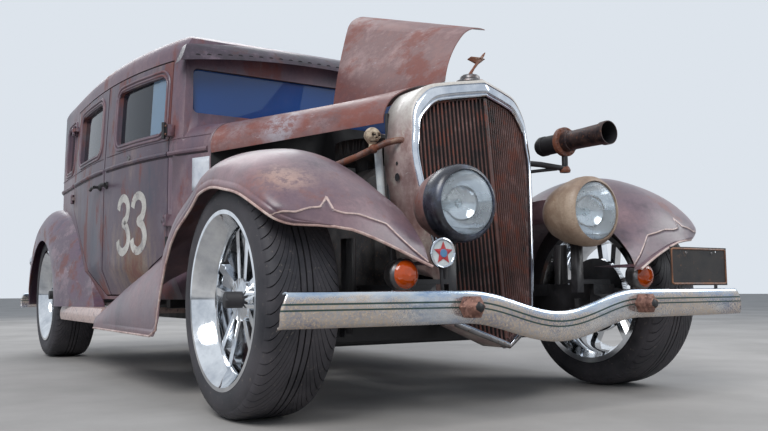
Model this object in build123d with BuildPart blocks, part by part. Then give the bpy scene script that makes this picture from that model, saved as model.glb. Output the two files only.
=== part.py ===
from build123d import *
import os
from math import atan2, cos, degrees, radians, sin, tan

os.makedirs("parts", exist_ok=True)

# A low, chopped four-door sedan hot rod. Millimetres, +X is the car's left, the car faces -Y, +Z is up.
# The origin is on the ground under the middle of the car.

# Clearances
SEAT_GAP = 0.3  # between curved faces of pieces that are fastened together
MOVE_GAP = 6.0  # round every piece that moves
PIN_GAP = 0.05  # radial, at kingpins and tie rod pins
BEARING_GAP = 0.08  # radial, at wheel bearings

# Wheels and axles
WHEELBASE = 2794.0
FRONT_Y = -1500.0
REAR_Y = FRONT_Y + WHEELBASE
TRACK_HALF = 730.0
FRONT_TYRE_R = 338.0
REAR_TYRE_R = 350.0
TYRE_W = 224.0
TYRE_SHOULDER = 24.0
RIM_LIP_R = 258.0
RIM_W = 218.0
RIM_WALL = 7.0
RIM_LIP_DEPTH = 62.0
SPOKE_PAIRS = 5
SPOKE_T = 30.0
HUB_R = 62.0
HUB_BORE_R = 24.0
KINGPIN_X = 620.0
KINGPIN_R = 12.0
KINGPIN_BOSS_R = 24.0
KINGPIN_BOSS_H = 84.0
KNUCKLE_PLATE = 16.0
STEER_ARM_L = 130.0
STEER_ARM_Z = 205.0
STEER_ARM_T = 18.0
TIE_ROD_R = 11.0
BEAM_Z = 232.0
BEAM_H = 56.0
BEAM_W = 44.0
BRAKE_R = 140.0
BRAKE_W = 24.0

# Frame
RAIL_X = 385.0
RAIL_W = 58.0
RAIL_TOP = 329.7
RAIL_H = 95.0
OUTRIGGER_X = 600.0
RAIL_FRONT_Y = -1810.0
RAIL_REAR_Y = 1830.0
KICK_RISE = 190.0
FRONT_RISE = 48.0

# Body, half widths along the car
BODY_BOTTOM = 330.0
BODY_WALL = 45.0
FLOOR_T = 12.0
BELT_Z = 938.0
ROOF_Z = 1492.0
SIDE_TUCK = 55.0
SILL_H = 140.0
TUMBLE = 20.0
SHOULDER_R = 95.0
COWL_FRONT_Y = -600.0
CABIN_FRONT_Y = -445.0
BODY_REAR_Y = 1545.0
A_SEAM_Y = -368.0
B_SEAM_Y = 250.0
C_SEAM_Y = 900.0
COWL_FRONT_HALF = 545.0
COWL_FRONT_TOP = 1085.0
COWL_REAR_TOP = 1104.0
CABIN_FRONT_HALF = 618.0
# crown, bend and side of the cowl's and hood's round shoulder: share of the half width, share of
# the rise from the belt to the top, counted from the top
COWL_SHOULDER = [(0.50, 0.05), (0.86, 0.21), (0.967, 0.48)]
FRONT_SHOULDER = [(0.42, 0.1), (0.78, 0.38), (0.94, 0.66)]
# station y, half width
CABIN_STATIONS = [
    (CABIN_FRONT_Y, CABIN_FRONT_HALF), (B_SEAM_Y, 767.0), (C_SEAM_Y, 776.0), (BODY_REAR_Y, 770.0),
]
REAR_CORNER_R = 210.0
TUNNEL_HALF = 170.0
TUNNEL_Z = 470.0
REAR_FLOOR_Z = 560.0
REAR_FLOOR_Y = 930.0

# Windows
WINDOW_LOW = 1042.0
WINDOW_HIGH = 1290.0
WINDOW_R = 22.0
GLASS_T = 5.0
GLASS_INSET = 18.0
SCREEN_HALF = 570.0
SCREEN_LOW = 1116.0
SCREEN_HIGH = 1308.0
# first y, last y of each side window
FRONT_WINDOW = (-322.0, 105.0)
REAR_WINDOW = (335.0, 770.0)
QUARTER_WINDOW = (955.0, 1165.0)
BACK_WINDOW_HALF = 300.0
BACK_WINDOW = (1120.0, 1290.0)

# Doors
DOOR_BOTTOM = 346.0
DOOR_TOP = 1352.0
DOOR_CORNER_R = 30.0
DOOR_SWING = 65.0
# hinges of each door: x and y of the axis, heights, and which way along Y the door lies from it
HINGE_ROWS = {
    "front": (660.0, A_SEAM_Y, (660.0, 1040.0), 1),
    "rear": (785.0, C_SEAM_Y, (870.0, 1250.0), -1),
}
HINGE_R = 7.5
HINGE_PIN_R = 4.0
HINGE_HALF_H = 24.0
KNUCKLE_HALF_H = 9.0
LEAF_L = 32.0
HINGE_SEAT = 27.0

# Hood
HINGE_Z = 1088.0
HOOD_FRONT_Y = -1448.0
HOOD_REAR_Y = COWL_FRONT_Y - MOVE_GAP
HOOD_FRONT_HALF = 252.0
HOOD_T = 3.0
HOOD_LOW = 922.0
HOOD_OPEN = 83.0
HINGE_ROD_R = 5.0
HOOD_DROP = 5.0  # of the panels' top edges below the hinge
HOOD_EDGE = 11.0  # from the hinge to the panels' edges
HOOD_KNUCKLE_R = 8.5
HOOD_KNUCKLE_L = 62.0
HOOD_KNUCKLES = 8

# Radiator shell and grille
SHELL_HALF = 252.0
SHELL_TOP = 1052.0
SHELL_LOW = 250.0
SHELL_POINT = 180.0
SHELL_BACK_Y = -1456.0
SHELL_T = 4.0
SURROUND_SIDE = 26.0
SURROUND_TOP = 58.0
GRILLE_LEAN = 0.11  # forward per unit of height, going down
GRILLE_SWEEP = 0.36  # back per unit of half width
GRILLE_TOP_Y = -1673.0  # centre line at the top of the bars
GRILLE_TOP_Z = 990.0
BAR_PITCH = 12.6
BAR_W = 5.0
BAR_D = 9.0

# Fenders
TAIL_SLOPE = 20.3
FENDER_OUT = 875.0
FENDER_T = 4.0
CROWN_R = 452.0
CROWN_X = 680.0
LIP_SHOULDER_R = 345.0
FENDER_IN = 408.0
# angle forward of the wheel's top, how far the front fender's inner edge lies below its crown
FENDER_DROPS = [
    (-TAIL_SLOPE, 94.0), (0.0, 94.0), (15.0, 94.0), (30.0, 94.0), (42.0, 84.0), (54.0, 60.0),
    (66.0, 26.0), (79.0, 4.0), (92.0, 4.0),
]
TAIL_BOTTOM = 212.0
TAIL_END_Y = -60.0

# Running boards
BOARD_OUT = 842.0
BOARD_IN = 700.0
BOARD_TOP = 292.0
BOARD_T = 68.0
BOARD_PLATE = 8.0
BOARD_REAR_Y = 838.0

# Bumpers
BUMPER_HALF = 874.0
BUMPER_H = 90.0
BUMPER_T = 9.0
BUMPER_Y = -2006.0
BUMPER_END_BACK = 24.0
BUMPER_Z = 316.0
BUMPER_DIP = 60.0
BOLT_X = 339.0
NUT_ACROSS = 56.0
NUT_H = 32.0
STUD_R = 15.0

# Lamps
LAMP_X = 258.0
LAMP_Y = -1904.0
LAMP_Z = 609.0
LAMP_RIM_R = 113.0
LENS_R = 90.0
LAMP_DEPTH = 200.0
AMBER_X = 473.0
AMBER_Y = -1907.0
AMBER_Z = 403.0
AMBER_R = 42.0


def mirrored(part):
    return mirror(part, about=Plane.YZ, mode=Mode.PRIVATE)


def save(part, name):
    part.label = name
    export_step(part, f"parts/{name}.step")


def boxed(x, y, z):
    # a box from its low and high limits along each axis
    middle = Pos((x[0] + x[1]) / 2, (y[0] + y[1]) / 2, (z[0] + z[1]) / 2)
    return middle * Box(x[1] - x[0], y[1] - y[0], z[1] - z[0], mode=Mode.PRIVATE)


def side_prism(points, x):
    # a polygon of (y, z) points, extruded between two x planes
    with BuildPart(mode=Mode.PRIVATE) as prism:
        with BuildSketch(Plane.YZ.offset(x[0])):
            with BuildLine():
                Polyline(*points, close=True)
            make_face()
        extrude(amount=x[1] - x[0])
    return prism.part


# Body forms

def body_section(y, half, top, low):
    # one cross section of the body: tucked sill, upright side, round shoulder, crowned roof
    shoulder_z = top - SHOULDER_R - 22
    roof_half = half - TUMBLE - SHOULDER_R
    with BuildSketch(Plane.XZ.offset(-y), mode=Mode.PRIVATE) as section:
        with BuildLine():
            Polyline(
                (0, low), (half - SIDE_TUCK, low), (half, low + SILL_H), (half, BELT_Z),
                (half - TUMBLE, shoulder_z),
            )
            ThreePointArc(
                (half - TUMBLE, shoulder_z),
                (half - TUMBLE - 0.24 * SHOULDER_R, shoulder_z + 0.66 * SHOULDER_R),
                (roof_half, shoulder_z + SHOULDER_R),
            )
            ThreePointArc((roof_half, shoulder_z + SHOULDER_R), (half / 2, top - 8), (0, top))
            mirror(about=Plane.YZ)
        make_face()
    return section.sketch


def cabin_form(inset):
    # the cabin, taken in by the inset on every side
    with BuildPart(mode=Mode.PRIVATE) as lofted:
        for y, half in CABIN_STATIONS:
            add(body_section(y, half - inset, ROOF_Z - inset, BODY_BOTTOM))
        loft()
    with BuildPart(mode=Mode.PRIVATE) as plan:
        with BuildSketch():
            with BuildLine():
                Line((0, CABIN_FRONT_Y + inset), (900, CABIN_FRONT_Y + inset))
                Line((900, CABIN_FRONT_Y + inset), (900, BODY_REAR_Y - 330))
                Line((900, BODY_REAR_Y - 330), (770 - inset, BODY_REAR_Y - 330))
                ThreePointArc(
                    (770 - inset, BODY_REAR_Y - 330),
                    (650 - inset, BODY_REAR_Y - 100 - inset * 0.7),
                    (420, BODY_REAR_Y - 24 - inset),
                )
                ThreePointArc(
                    (420, BODY_REAR_Y - 24 - inset), (210, BODY_REAR_Y - 6 - inset), (0, BODY_REAR_Y - inset)
                )
                mirror(about=Plane.YZ)
            make_face()
        extrude(amount=ROOF_Z + 100)
    with BuildPart(mode=Mode.PRIVATE) as profile:
        with BuildSketch(Plane.YZ.offset(-900)):
            with BuildLine():
                Polyline(
                    (BODY_REAR_Y - 420, ROOF_Z - inset), (CABIN_FRONT_Y + 250, ROOF_Z + 2 - inset),
                    (CABIN_FRONT_Y + 110, ROOF_Z - 10 - inset), (CABIN_FRONT_Y - 10, ROOF_Z - 60 - inset),
                    (CABIN_FRONT_Y - 10, 200), (BODY_REAR_Y - inset - 20, 200),
                    (BODY_REAR_Y - inset, 800), (BODY_REAR_Y - inset - 60, 1080),
                )
                ThreePointArc(
                    (BODY_REAR_Y - inset - 60, 1080),
                    (BODY_REAR_Y - inset * 0.8 - 190, ROOF_Z - 130 - inset * 0.6),
                    (BODY_REAR_Y - 420, ROOF_Z - inset),
                )
            make_face()
        extrude(amount=1800)
    return lofted.part & plan.part & profile.part


def window_prism(span, low, high, shrink=0.0, side=-1):
    # a round-cornered window, seen from the side, through one side wall
    with BuildPart(mode=Mode.PRIVATE) as prism:
        with BuildSketch(Plane.YZ.offset(side * 900)):
            with Locations(((span[0] + span[1]) / 2, (low + high) / 2)):
                RectangleRounded(span[1] - span[0] - 2 * shrink, high - low - 2 * shrink, WINDOW_R - shrink)
        extrude(amount=-side * 500)
    return prism.part


def end_window_prism(y, half, low, high, shrink=0.0):
    # a round-cornered window, seen from the front, through the front or back wall
    with BuildPart(mode=Mode.PRIVATE) as prism:
        with BuildSketch(Plane.XZ.offset(-y[0])):
            with Locations((0, (low + high) / 2)):
                RectangleRounded(2 * (half - shrink), high - low - 2 * shrink, WINDOW_R - shrink)
        extrude(amount=-(y[1] - y[0]))
    return prism.part


# outline of each door from the side, as (y, z)
fender_curve = [(320.0, DOOR_BOTTOM), (505.0, 478.0), (640.0, 590.0), (800.0, 726.0), (C_SEAM_Y - 5, 812.0)]
front_door_outline = [
    (A_SEAM_Y, 525.0), (A_SEAM_Y, DOOR_TOP), (B_SEAM_Y, DOOR_TOP), (B_SEAM_Y, DOOR_BOTTOM),
    (-30.0, DOOR_BOTTOM),
]
rear_door_outline = [(B_SEAM_Y, DOOR_BOTTOM), *fender_curve, (C_SEAM_Y, DOOR_TOP), (B_SEAM_Y, DOOR_TOP)]
door_outlines = {"front": front_door_outline, "rear": rear_door_outline}
door_windows = {"front": FRONT_WINDOW, "rear": REAR_WINDOW}


def door_prism(name, gap, side):
    # the door's outline through one side wall, taken in by the gap
    with BuildPart(mode=Mode.PRIVATE) as prism:
        with BuildSketch(Plane.YZ.offset(side * 900)):
            with BuildLine():
                Polyline(*door_outlines[name], close=True)
            make_face()
            if gap:
                offset(amount=-gap, kind=Kind.INTERSECTION)
        extrude(amount=-side * 500)
    return prism.part


def upright(x, y, radius, z):
    # an upright round bar between two heights
    with BuildPart(mode=Mode.PRIVATE) as bar:
        with BuildSketch(Plane.XY.offset(z[0])):
            with Locations((x, y)):
                Circle(radius)
        extrude(amount=z[1] - z[0])
    return bar.part


def body_hinge(x, y, z, way):
    # fixed half: a block on the pillar, two knuckles and the pin
    block_y = sorted((y - way * LEAF_L, y))
    half = boxed((x - HINGE_SEAT, x + 3), block_y, (z - HINGE_HALF_H, z + HINGE_HALF_H))
    half = half + upright(x, y, HINGE_R, (z - HINGE_HALF_H, z + HINGE_HALF_H))
    half = half - upright(x, y, HINGE_R + MOVE_GAP, (z - KNUCKLE_HALF_H, z + KNUCKLE_HALF_H))
    return half + upright(x, y, HINGE_PIN_R, (z - KNUCKLE_HALF_H - 1, z + KNUCKLE_HALF_H + 1))


def door_hinge(x, y, z, way):
    # moving half: the middle knuckle with its bore, and the leaf on the door
    reach = (z - KNUCKLE_HALF_H + SEAT_GAP, z + KNUCKLE_HALF_H - SEAT_GAP)
    half = boxed((x - HINGE_SEAT, x + 3), sorted((y, y + way * LEAF_L)), reach)
    half = half - boxed((x - 30, x - HINGE_R), sorted((y, y + way * MOVE_GAP)), reach)
    half = half + upright(x, y, HINGE_R, reach)
    return half - upright(x, y, HINGE_PIN_R + PIN_GAP, reach)


outer_form = cabin_form(0)
inner_form = cabin_form(BODY_WALL)
glass_form = cabin_form(GLASS_INSET) - cabin_form(GLASS_INSET + GLASS_T)

# floor, tunnel and the raised floor over the rear axle, kept out of the cavity
floor_keep = [
    boxed((-900, 900), (-900, 1700), (200, BODY_BOTTOM + FLOOR_T)),
    boxed((-TUNNEL_HALF - FLOOR_T, TUNNEL_HALF + FLOOR_T), (-900, 1700), (200, TUNNEL_Z)),
    boxed((-900, 900), (REAR_FLOOR_Y - FLOOR_T, 1700), (200, REAR_FLOOR_Z)),
]
under_cuts = [
    boxed((-TUNNEL_HALF, TUNNEL_HALF), (-900, REAR_FLOOR_Y + 1), (200, TUNNEL_Z - FLOOR_T)),
    boxed((-640, 640), (REAR_FLOOR_Y, BODY_REAR_Y - 60), (200, REAR_FLOOR_Z - FLOOR_T)),
    *[
        boxed(
            (side * RAIL_X - RAIL_W / 2 - 5, side * RAIL_X + RAIL_W / 2 + 5), (REAR_FLOOR_Y, 1700),
            (200, REAR_FLOOR_Z - FLOOR_T),
        )
        for side in (-1, 1)
    ],
]
cavity = inner_form
for keep in floor_keep:
    cavity = cavity - keep

# Wheel wells of the rear wheels
WELL_R = 440.0
WELL_IN = 585.0
WELL_T = 4.0


def well_cylinder(radius, x_from, x_to=900.0):
    with BuildPart(mode=Mode.PRIVATE) as well:
        with BuildSketch(Plane.YZ.offset(x_from)):
            with Locations((REAR_Y, REAR_TYRE_R)):
                Circle(radius)
        extrude(amount=x_to - x_from)
    return well.part


def shoulder_points(half, top, shoulder):
    rise = top - BELT_Z
    return [(half * across, top - rise * down) for across, down in shoulder]


def cowl_section(y, half, top):
    with BuildSketch(Plane.XZ.offset(-y), mode=Mode.PRIVATE) as section:
        with BuildLine():
            Polyline(
                (0, BODY_BOTTOM), (half - SIDE_TUCK, BODY_BOTTOM), (half, BODY_BOTTOM + SILL_H),
                (half, BELT_Z),
            )
            crown, bend, side = shoulder_points(half, top, COWL_SHOULDER)
            ThreePointArc((half, BELT_Z), side, bend)
            ThreePointArc(bend, crown, (0, top))
            mirror(about=Plane.YZ)
        make_face()
    return section.sketch


def cowl_form(inset, front_y, rear_y=CABIN_FRONT_Y + BODY_WALL):
    slope = (CABIN_FRONT_HALF - COWL_FRONT_HALF) / (CABIN_FRONT_Y - COWL_FRONT_Y)
    with BuildPart(mode=Mode.PRIVATE) as lofted:
        for y in (front_y, rear_y):
            half = COWL_FRONT_HALF + slope * (y - COWL_FRONT_Y)
            share = (y - COWL_FRONT_Y) / (rear_y - COWL_FRONT_Y)
            top = COWL_FRONT_TOP + share * (COWL_REAR_TOP - COWL_FRONT_TOP)
            add(cowl_section(y, half - inset, top - inset))
        loft()
    return lofted.part


# the front and back walls' window cuts, each with the span of Y that it goes through
SCREEN_SPAN = (CABIN_FRONT_Y - 60, CABIN_FRONT_Y + 80)
BACK_SPAN = (BODY_REAR_Y - 300, BODY_REAR_Y + 60)
end_windows = (
    (SCREEN_SPAN, SCREEN_HALF, SCREEN_LOW, SCREEN_HIGH), (BACK_SPAN, BACK_WINDOW_HALF, *BACK_WINDOW),
)
FIREWALL_T = 12.0
cowl_outer = cowl_form(0, COWL_FRONT_Y)
# the room in the cowl opens into the cabin through its front wall
cowl_inner = cowl_form(32, COWL_FRONT_Y + FIREWALL_T, CABIN_FRONT_Y + BODY_WALL + 1)
for keep in floor_keep[:2]:
    cowl_inner = cowl_inner - keep

with BuildPart() as body_shell:
    add(outer_form)
    add(cowl_outer)
    add(cavity, mode=Mode.SUBTRACT)
    add(cowl_inner, mode=Mode.SUBTRACT)
    for cut in under_cuts:
        add(cut, mode=Mode.SUBTRACT)
    for window in end_windows:
        add(end_window_prism(*window), mode=Mode.SUBTRACT)
    for side in (-1, 1):
        add(window_prism(QUARTER_WINDOW, WINDOW_LOW, WINDOW_HIGH, side=side), mode=Mode.SUBTRACT)
        for name in ("front", "rear"):
            add(door_prism(name, 0, side), mode=Mode.SUBTRACT)
    add(well_cylinder(WELL_R, WELL_IN), mode=Mode.SUBTRACT)
    add(mirrored(well_cylinder(WELL_R, WELL_IN)), mode=Mode.SUBTRACT)
    for x, y, heights, way in HINGE_ROWS.values():
        for z in heights:
            hinge = body_hinge(x, y, z, way)
            add(hinge)
            add(mirrored(hinge))
    # the middle hinge rod of the hood runs from the cowl to the radiator shell
    with BuildSketch(Plane.XZ.offset(-COWL_FRONT_Y - 2)):
        with Locations((0, HINGE_Z)):
            Circle(HINGE_ROD_R)
    extrude(amount=COWL_FRONT_Y + 2 - SHELL_BACK_Y - SEAT_GAP)
save(body_shell.part, "body_shell")

# Doors and side glass
wall = outer_form - inner_form
door_parts = {}
for name in ("front", "rear"):
    with BuildPart() as door:
        add(wall & door_prism(name, MOVE_GAP, -1))
        add(window_prism(door_windows[name], WINDOW_LOW, WINDOW_HIGH), mode=Mode.SUBTRACT)
        x, y, heights, way = HINGE_ROWS[name]
        for z in heights:
            add(mirrored(door_hinge(x, y, z, way)))
    with BuildPart() as glass:
        add(glass_form & window_prism(door_windows[name], WINDOW_LOW, WINDOW_HIGH, SEAT_GAP))
    for side, flip in (("right", False), ("left", True)):
        save(mirrored(door.part) if flip else door.part, f"door_{name}_{side}")
        save(mirrored(glass.part) if flip else glass.part, f"door_glass_{name}_{side}")

with BuildPart() as fixed_glass:
    for window in end_windows:
        add(glass_form & end_window_prism(*window, SEAT_GAP))
    for side in (-1, 1):
        add(glass_form & window_prism(QUARTER_WINDOW, WINDOW_LOW, WINDOW_HIGH, SEAT_GAP, side))
save(fixed_glass.part, "fixed_glass")

# Sun visor: a curved lip above the windshield, standing off the roof's front
VISOR_OUT = 80.0
VISOR_HALF = 650.0
VISOR_LOW = 1312.0
VISOR_RISE = 58.0
VISOR_T = 4.0
VISOR_H = 78.0
with BuildPart() as visor_arch:
    with BuildSketch(Plane.XZ.offset(-CABIN_FRONT_Y + SEAT_GAP)):
        with BuildLine():
            ThreePointArc((-VISOR_HALF, VISOR_LOW), (0, VISOR_LOW + VISOR_RISE), (VISOR_HALF, VISOR_LOW))
            Line((VISOR_HALF, VISOR_LOW), (VISOR_HALF - 30, VISOR_LOW + VISOR_H))
            ThreePointArc(
                (VISOR_HALF - 30, VISOR_LOW + VISOR_H), (0, VISOR_LOW + VISOR_RISE + VISOR_H),
                (-VISOR_HALF + 30, VISOR_LOW + VISOR_H),
            )
            Line((-VISOR_HALF + 30, VISOR_LOW + VISOR_H), (-VISOR_HALF, VISOR_LOW))
        make_face()
    extrude(amount=VISOR_OUT)
with BuildPart() as visor_profile:
    with BuildSketch(Plane.YZ.offset(-VISOR_HALF)):
        with BuildLine():
            front = CABIN_FRONT_Y - VISOR_OUT
            top = VISOR_LOW + VISOR_RISE + VISOR_H
            ThreePointArc((CABIN_FRONT_Y, top - 8), (front + 22, top - 60), (front, VISOR_LOW - 10))
            Line((front, VISOR_LOW - 10), (CABIN_FRONT_Y, VISOR_LOW - 10))
            Line((CABIN_FRONT_Y, VISOR_LOW - 10), (CABIN_FRONT_Y, top - 8))
        make_face()
    extrude(amount=2 * VISOR_HALF)
visor_block = visor_arch.part & visor_profile.part
visor_hollow = visor_block.moved(Location((0, VISOR_T, -VISOR_T)))
with BuildPart() as sun_visor:
    add(visor_block - visor_hollow)
save(sun_visor.part, "sun_visor")


# Hood halves

def hood_section(y, half, top, shoulder):
    # outer and inner skin of the right half, from the middle hinge to below the belt
    t = HOOD_T
    crown, bend, side = [(-x, z) for x, z in shoulder_points(half, top, shoulder)]
    with BuildSketch(Plane.XZ.offset(-y), mode=Mode.PRIVATE) as section:
        with BuildLine():
            ThreePointArc((-HOOD_EDGE, top), crown, bend)
            ThreePointArc(bend, side, (-half, HOOD_LOW))
            Line((-half, HOOD_LOW), (-half + t, HOOD_LOW))
            ThreePointArc((-half + t, HOOD_LOW), (side[0] + t, side[1] - t), (bend[0] + t, bend[1] - t))
            ThreePointArc((bend[0] + t, bend[1] - t), (crown[0], crown[1] - t), (-HOOD_EDGE, top - t))
            Line((-HOOD_EDGE, top - t), (-HOOD_EDGE, top))
        make_face()
    return section.sketch


def hood_half(first):
    # the right panel with every other knuckle of the middle hinge, counted from the given one
    pitch = (HOOD_REAR_Y - HOOD_FRONT_Y) / HOOD_KNUCKLES
    top = HINGE_Z - HOOD_DROP
    with BuildPart(mode=Mode.PRIVATE) as panel:
        add(hood_section(HOOD_FRONT_Y, HOOD_FRONT_HALF, top, FRONT_SHOULDER))
        add(hood_section(HOOD_REAR_Y, COWL_FRONT_HALF, top, COWL_SHOULDER))
        loft()
    half = panel.part
    for index in range(first, HOOD_KNUCKLES, 2):
        y = HOOD_FRONT_Y + (index + 0.5) * pitch
        reach = (y - HOOD_KNUCKLE_L / 2, y + HOOD_KNUCKLE_L / 2)
        with BuildPart(mode=Mode.PRIVATE) as knuckle:
            with BuildSketch(Plane.XZ.offset(-reach[0])):
                with Locations((0, HINGE_Z)):
                    Circle(HOOD_KNUCKLE_R)
                with Locations((-HOOD_EDGE / 2 - 1, top - HOOD_T / 2)):
                    Rectangle(HOOD_EDGE, HOOD_T)
                with Locations((0, HINGE_Z)):
                    Circle(HINGE_ROD_R + PIN_GAP, mode=Mode.SUBTRACT)
            extrude(amount=-HOOD_KNUCKLE_L)
        half = half + knuckle.part
    return half


with BuildPart() as hood_right:
    add(hood_half(0))
save(hood_right.part, "hood_right")
with BuildPart() as hood_left:
    add(mirrored(hood_half(1)).rotate(Axis((0, 0, HINGE_Z), (0, 1, 0)), -HOOD_OPEN))
save(hood_left.part, "hood_left")


# Radiator shell, chrome-faced surround and core

def shell_outline(inset_side, inset_top, low, point):
    half = SHELL_HALF - inset_side
    top = SHELL_TOP - inset_top
    with BuildSketch(Plane.XZ.offset(1900), mode=Mode.PRIVATE) as outline:
        with BuildLine():
            Polyline((0, point), (half * 0.66, low), (half * 0.80, low + 180), (half, 760))
            ThreePointArc((half, 760), (half * 0.985, 880), (half * 0.86, top - 60))
            ThreePointArc((half * 0.86, top - 60), (half * 0.70, top - 26), (half * 0.42, top - 12))
            Line((half * 0.42, top - 12), (0, top))
            mirror(about=Plane.YZ)
        make_face()
    return outline.sketch


def grille_wedge(forward):
    # everything in front of the swept and leaning face, moved forward by the given amount
    def face_y(half, z):
        return GRILLE_TOP_Y - forward + GRILLE_LEAN * (z - GRILLE_TOP_Z) + GRILLE_SWEEP * half

    with BuildPart(mode=Mode.PRIVATE) as wedge:
        for z in (100, 1200):
            with BuildSketch(Plane.XY.offset(z)):
                with BuildLine():
                    Polyline(
                        (0, face_y(0, z)), (300, face_y(300, z)), (300, -2100), (-300, -2100),
                        (-300, face_y(300, z)), close=True,
                    )
                make_face()
        loft()
    return wedge.part


SHELL_FORWARD = 12.0
SURROUND_T = 14.0
# low edges of the surround's opening above those of the shell: at the sides and at the point
OPENING_LOW = SHELL_LOW + 16
OPENING_POINT = SHELL_POINT + 18
shell_length = 1900 + SHELL_BACK_Y
with BuildPart() as shell_block:
    extrude(shell_outline(0, 0, SHELL_LOW, SHELL_POINT), amount=shell_length, dir=(0, 1, 0))
with BuildPart() as shell_hole:
    extrude(
        shell_outline(SURROUND_SIDE, SURROUND_TOP, OPENING_LOW, OPENING_POINT),
        amount=shell_length, dir=(0, 1, 0),
    )
with BuildPart() as shell_hollow:
    extrude(
        shell_outline(SHELL_T, SHELL_T, SHELL_LOW + SHELL_T, SHELL_POINT + SHELL_T),
        amount=shell_length, dir=(0, 1, 0),
    )
SHELL_FOOT_Y = -1640.0
with BuildPart() as radiator_shell:
    add(shell_block.part - grille_wedge(SHELL_FORWARD) - shell_hole.part)
    add(shell_hollow.part - grille_wedge(-SURROUND_T), mode=Mode.SUBTRACT)
    # below the frame's front cross member only the front of the shell goes on down
    add(
        boxed((-300, 300), (SHELL_FOOT_Y, SHELL_BACK_Y + 10), (100, RAIL_TOP + FRONT_RISE + SEAT_GAP)),
        mode=Mode.SUBTRACT,
    )
    # lug that holds the front end of the hood's hinge rod
    add(boxed((-12, 12), (SHELL_BACK_Y - 14, SHELL_BACK_Y), (SHELL_TOP - 40, HINGE_Z + 9)))
save(radiator_shell.part, "radiator_shell")

# Grille: upright bars that follow the sweep and lean, in a thin frame that fits the surround
FRAME_W = 8.0
with BuildPart() as frame_block:
    extrude(
        shell_outline(
            SURROUND_SIDE + SEAT_GAP, SURROUND_TOP + SEAT_GAP, OPENING_LOW + SEAT_GAP, OPENING_POINT + SEAT_GAP
        ),
        amount=shell_length, dir=(0, 1, 0),
    )
with BuildPart() as frame_hole:
    extrude(
        shell_outline(
            SURROUND_SIDE + FRAME_W, SURROUND_TOP + FRAME_W, OPENING_LOW + FRAME_W, OPENING_POINT + FRAME_W
        ),
        amount=shell_length, dir=(0, 1, 0),
    )
bar_zone = (frame_block.part - grille_wedge(0)) & grille_wedge(-BAR_D)
with BuildPart() as grille:
    add(bar_zone - frame_hole.part)
    bar_count = int((SHELL_HALF - SURROUND_SIDE - FRAME_W) / BAR_PITCH)
    for index in range(-bar_count, bar_count + 1):
        x = index * BAR_PITCH
        width = 2 * BAR_W if index == 0 else BAR_W
        add(bar_zone & boxed((x - width / 2, x + width / 2), (-1900, -1300), (100, 1100)))
save(grille.part, "grille")

CORE_HALF = 175.0
CORE_LOW = 380.0
CORE_HIGH = 968.0
CORE_Y = (-1560.0, -1500.0)
with BuildPart() as radiator_core:
    add(boxed((-CORE_HALF, CORE_HALF), CORE_Y, (CORE_LOW, CORE_HIGH)))
    tank_y = (CORE_Y[0] + 8, CORE_Y[1] - 8)
    add(boxed((-CORE_HALF - 16, CORE_HALF + 16), tank_y, (CORE_HIGH - 60, CORE_HIGH - 10)))
    # feet down to the frame's front cross member
    foot_z = (RAIL_TOP + FRONT_RISE + SEAT_GAP, CORE_LOW + 1)
    for x in (-150, 150):
        add(boxed((x - 15, x + 15), (CORE_Y[0] + 10, CORE_Y[1] - 10), foot_z))
save(radiator_core.part, "radiator_core")

CAP_Y = -1600.0
with BuildPart() as radiator_cap:
    with BuildSketch(Plane.XY.offset(SHELL_TOP + SEAT_GAP)):
        with Locations((0, CAP_Y)):
            Circle(36)
    extrude(amount=12)
    with BuildSketch(Plane.XY.offset(SHELL_TOP + 12)):
        with Locations((0, CAP_Y)):
            Circle(26)
    extrude(amount=20, taper=20)
save(radiator_cap.part, "radiator_cap")

# Front fenders


def fender_section(inset, low_r, drop):
    # half width x against radius from the axle: round lip shoulder, crown, lower inner edge
    inner = (FENDER_IN + inset, CROWN_R - drop - inset)
    crown = (CROWN_X, CROWN_R - inset)
    with BuildSketch(Plane.XZ, mode=Mode.PRIVATE) as section:
        with BuildLine():
            Polyline(
                inner, (FENDER_IN + inset, low_r), (FENDER_OUT - inset, low_r),
                (FENDER_OUT - inset, LIP_SHOULDER_R),
            )
            ThreePointArc(
                (FENDER_OUT - inset, LIP_SHOULDER_R),
                (FENDER_OUT - 60 - 0.75 * inset, CROWN_R - 38 - 0.66 * inset),
                crown,
            )
            ThreePointArc(crown, (545 + 0.3 * inset, CROWN_R - 0.27 * drop - 2 - 0.9 * inset), inner)
        make_face()
    return section.sketch


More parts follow.
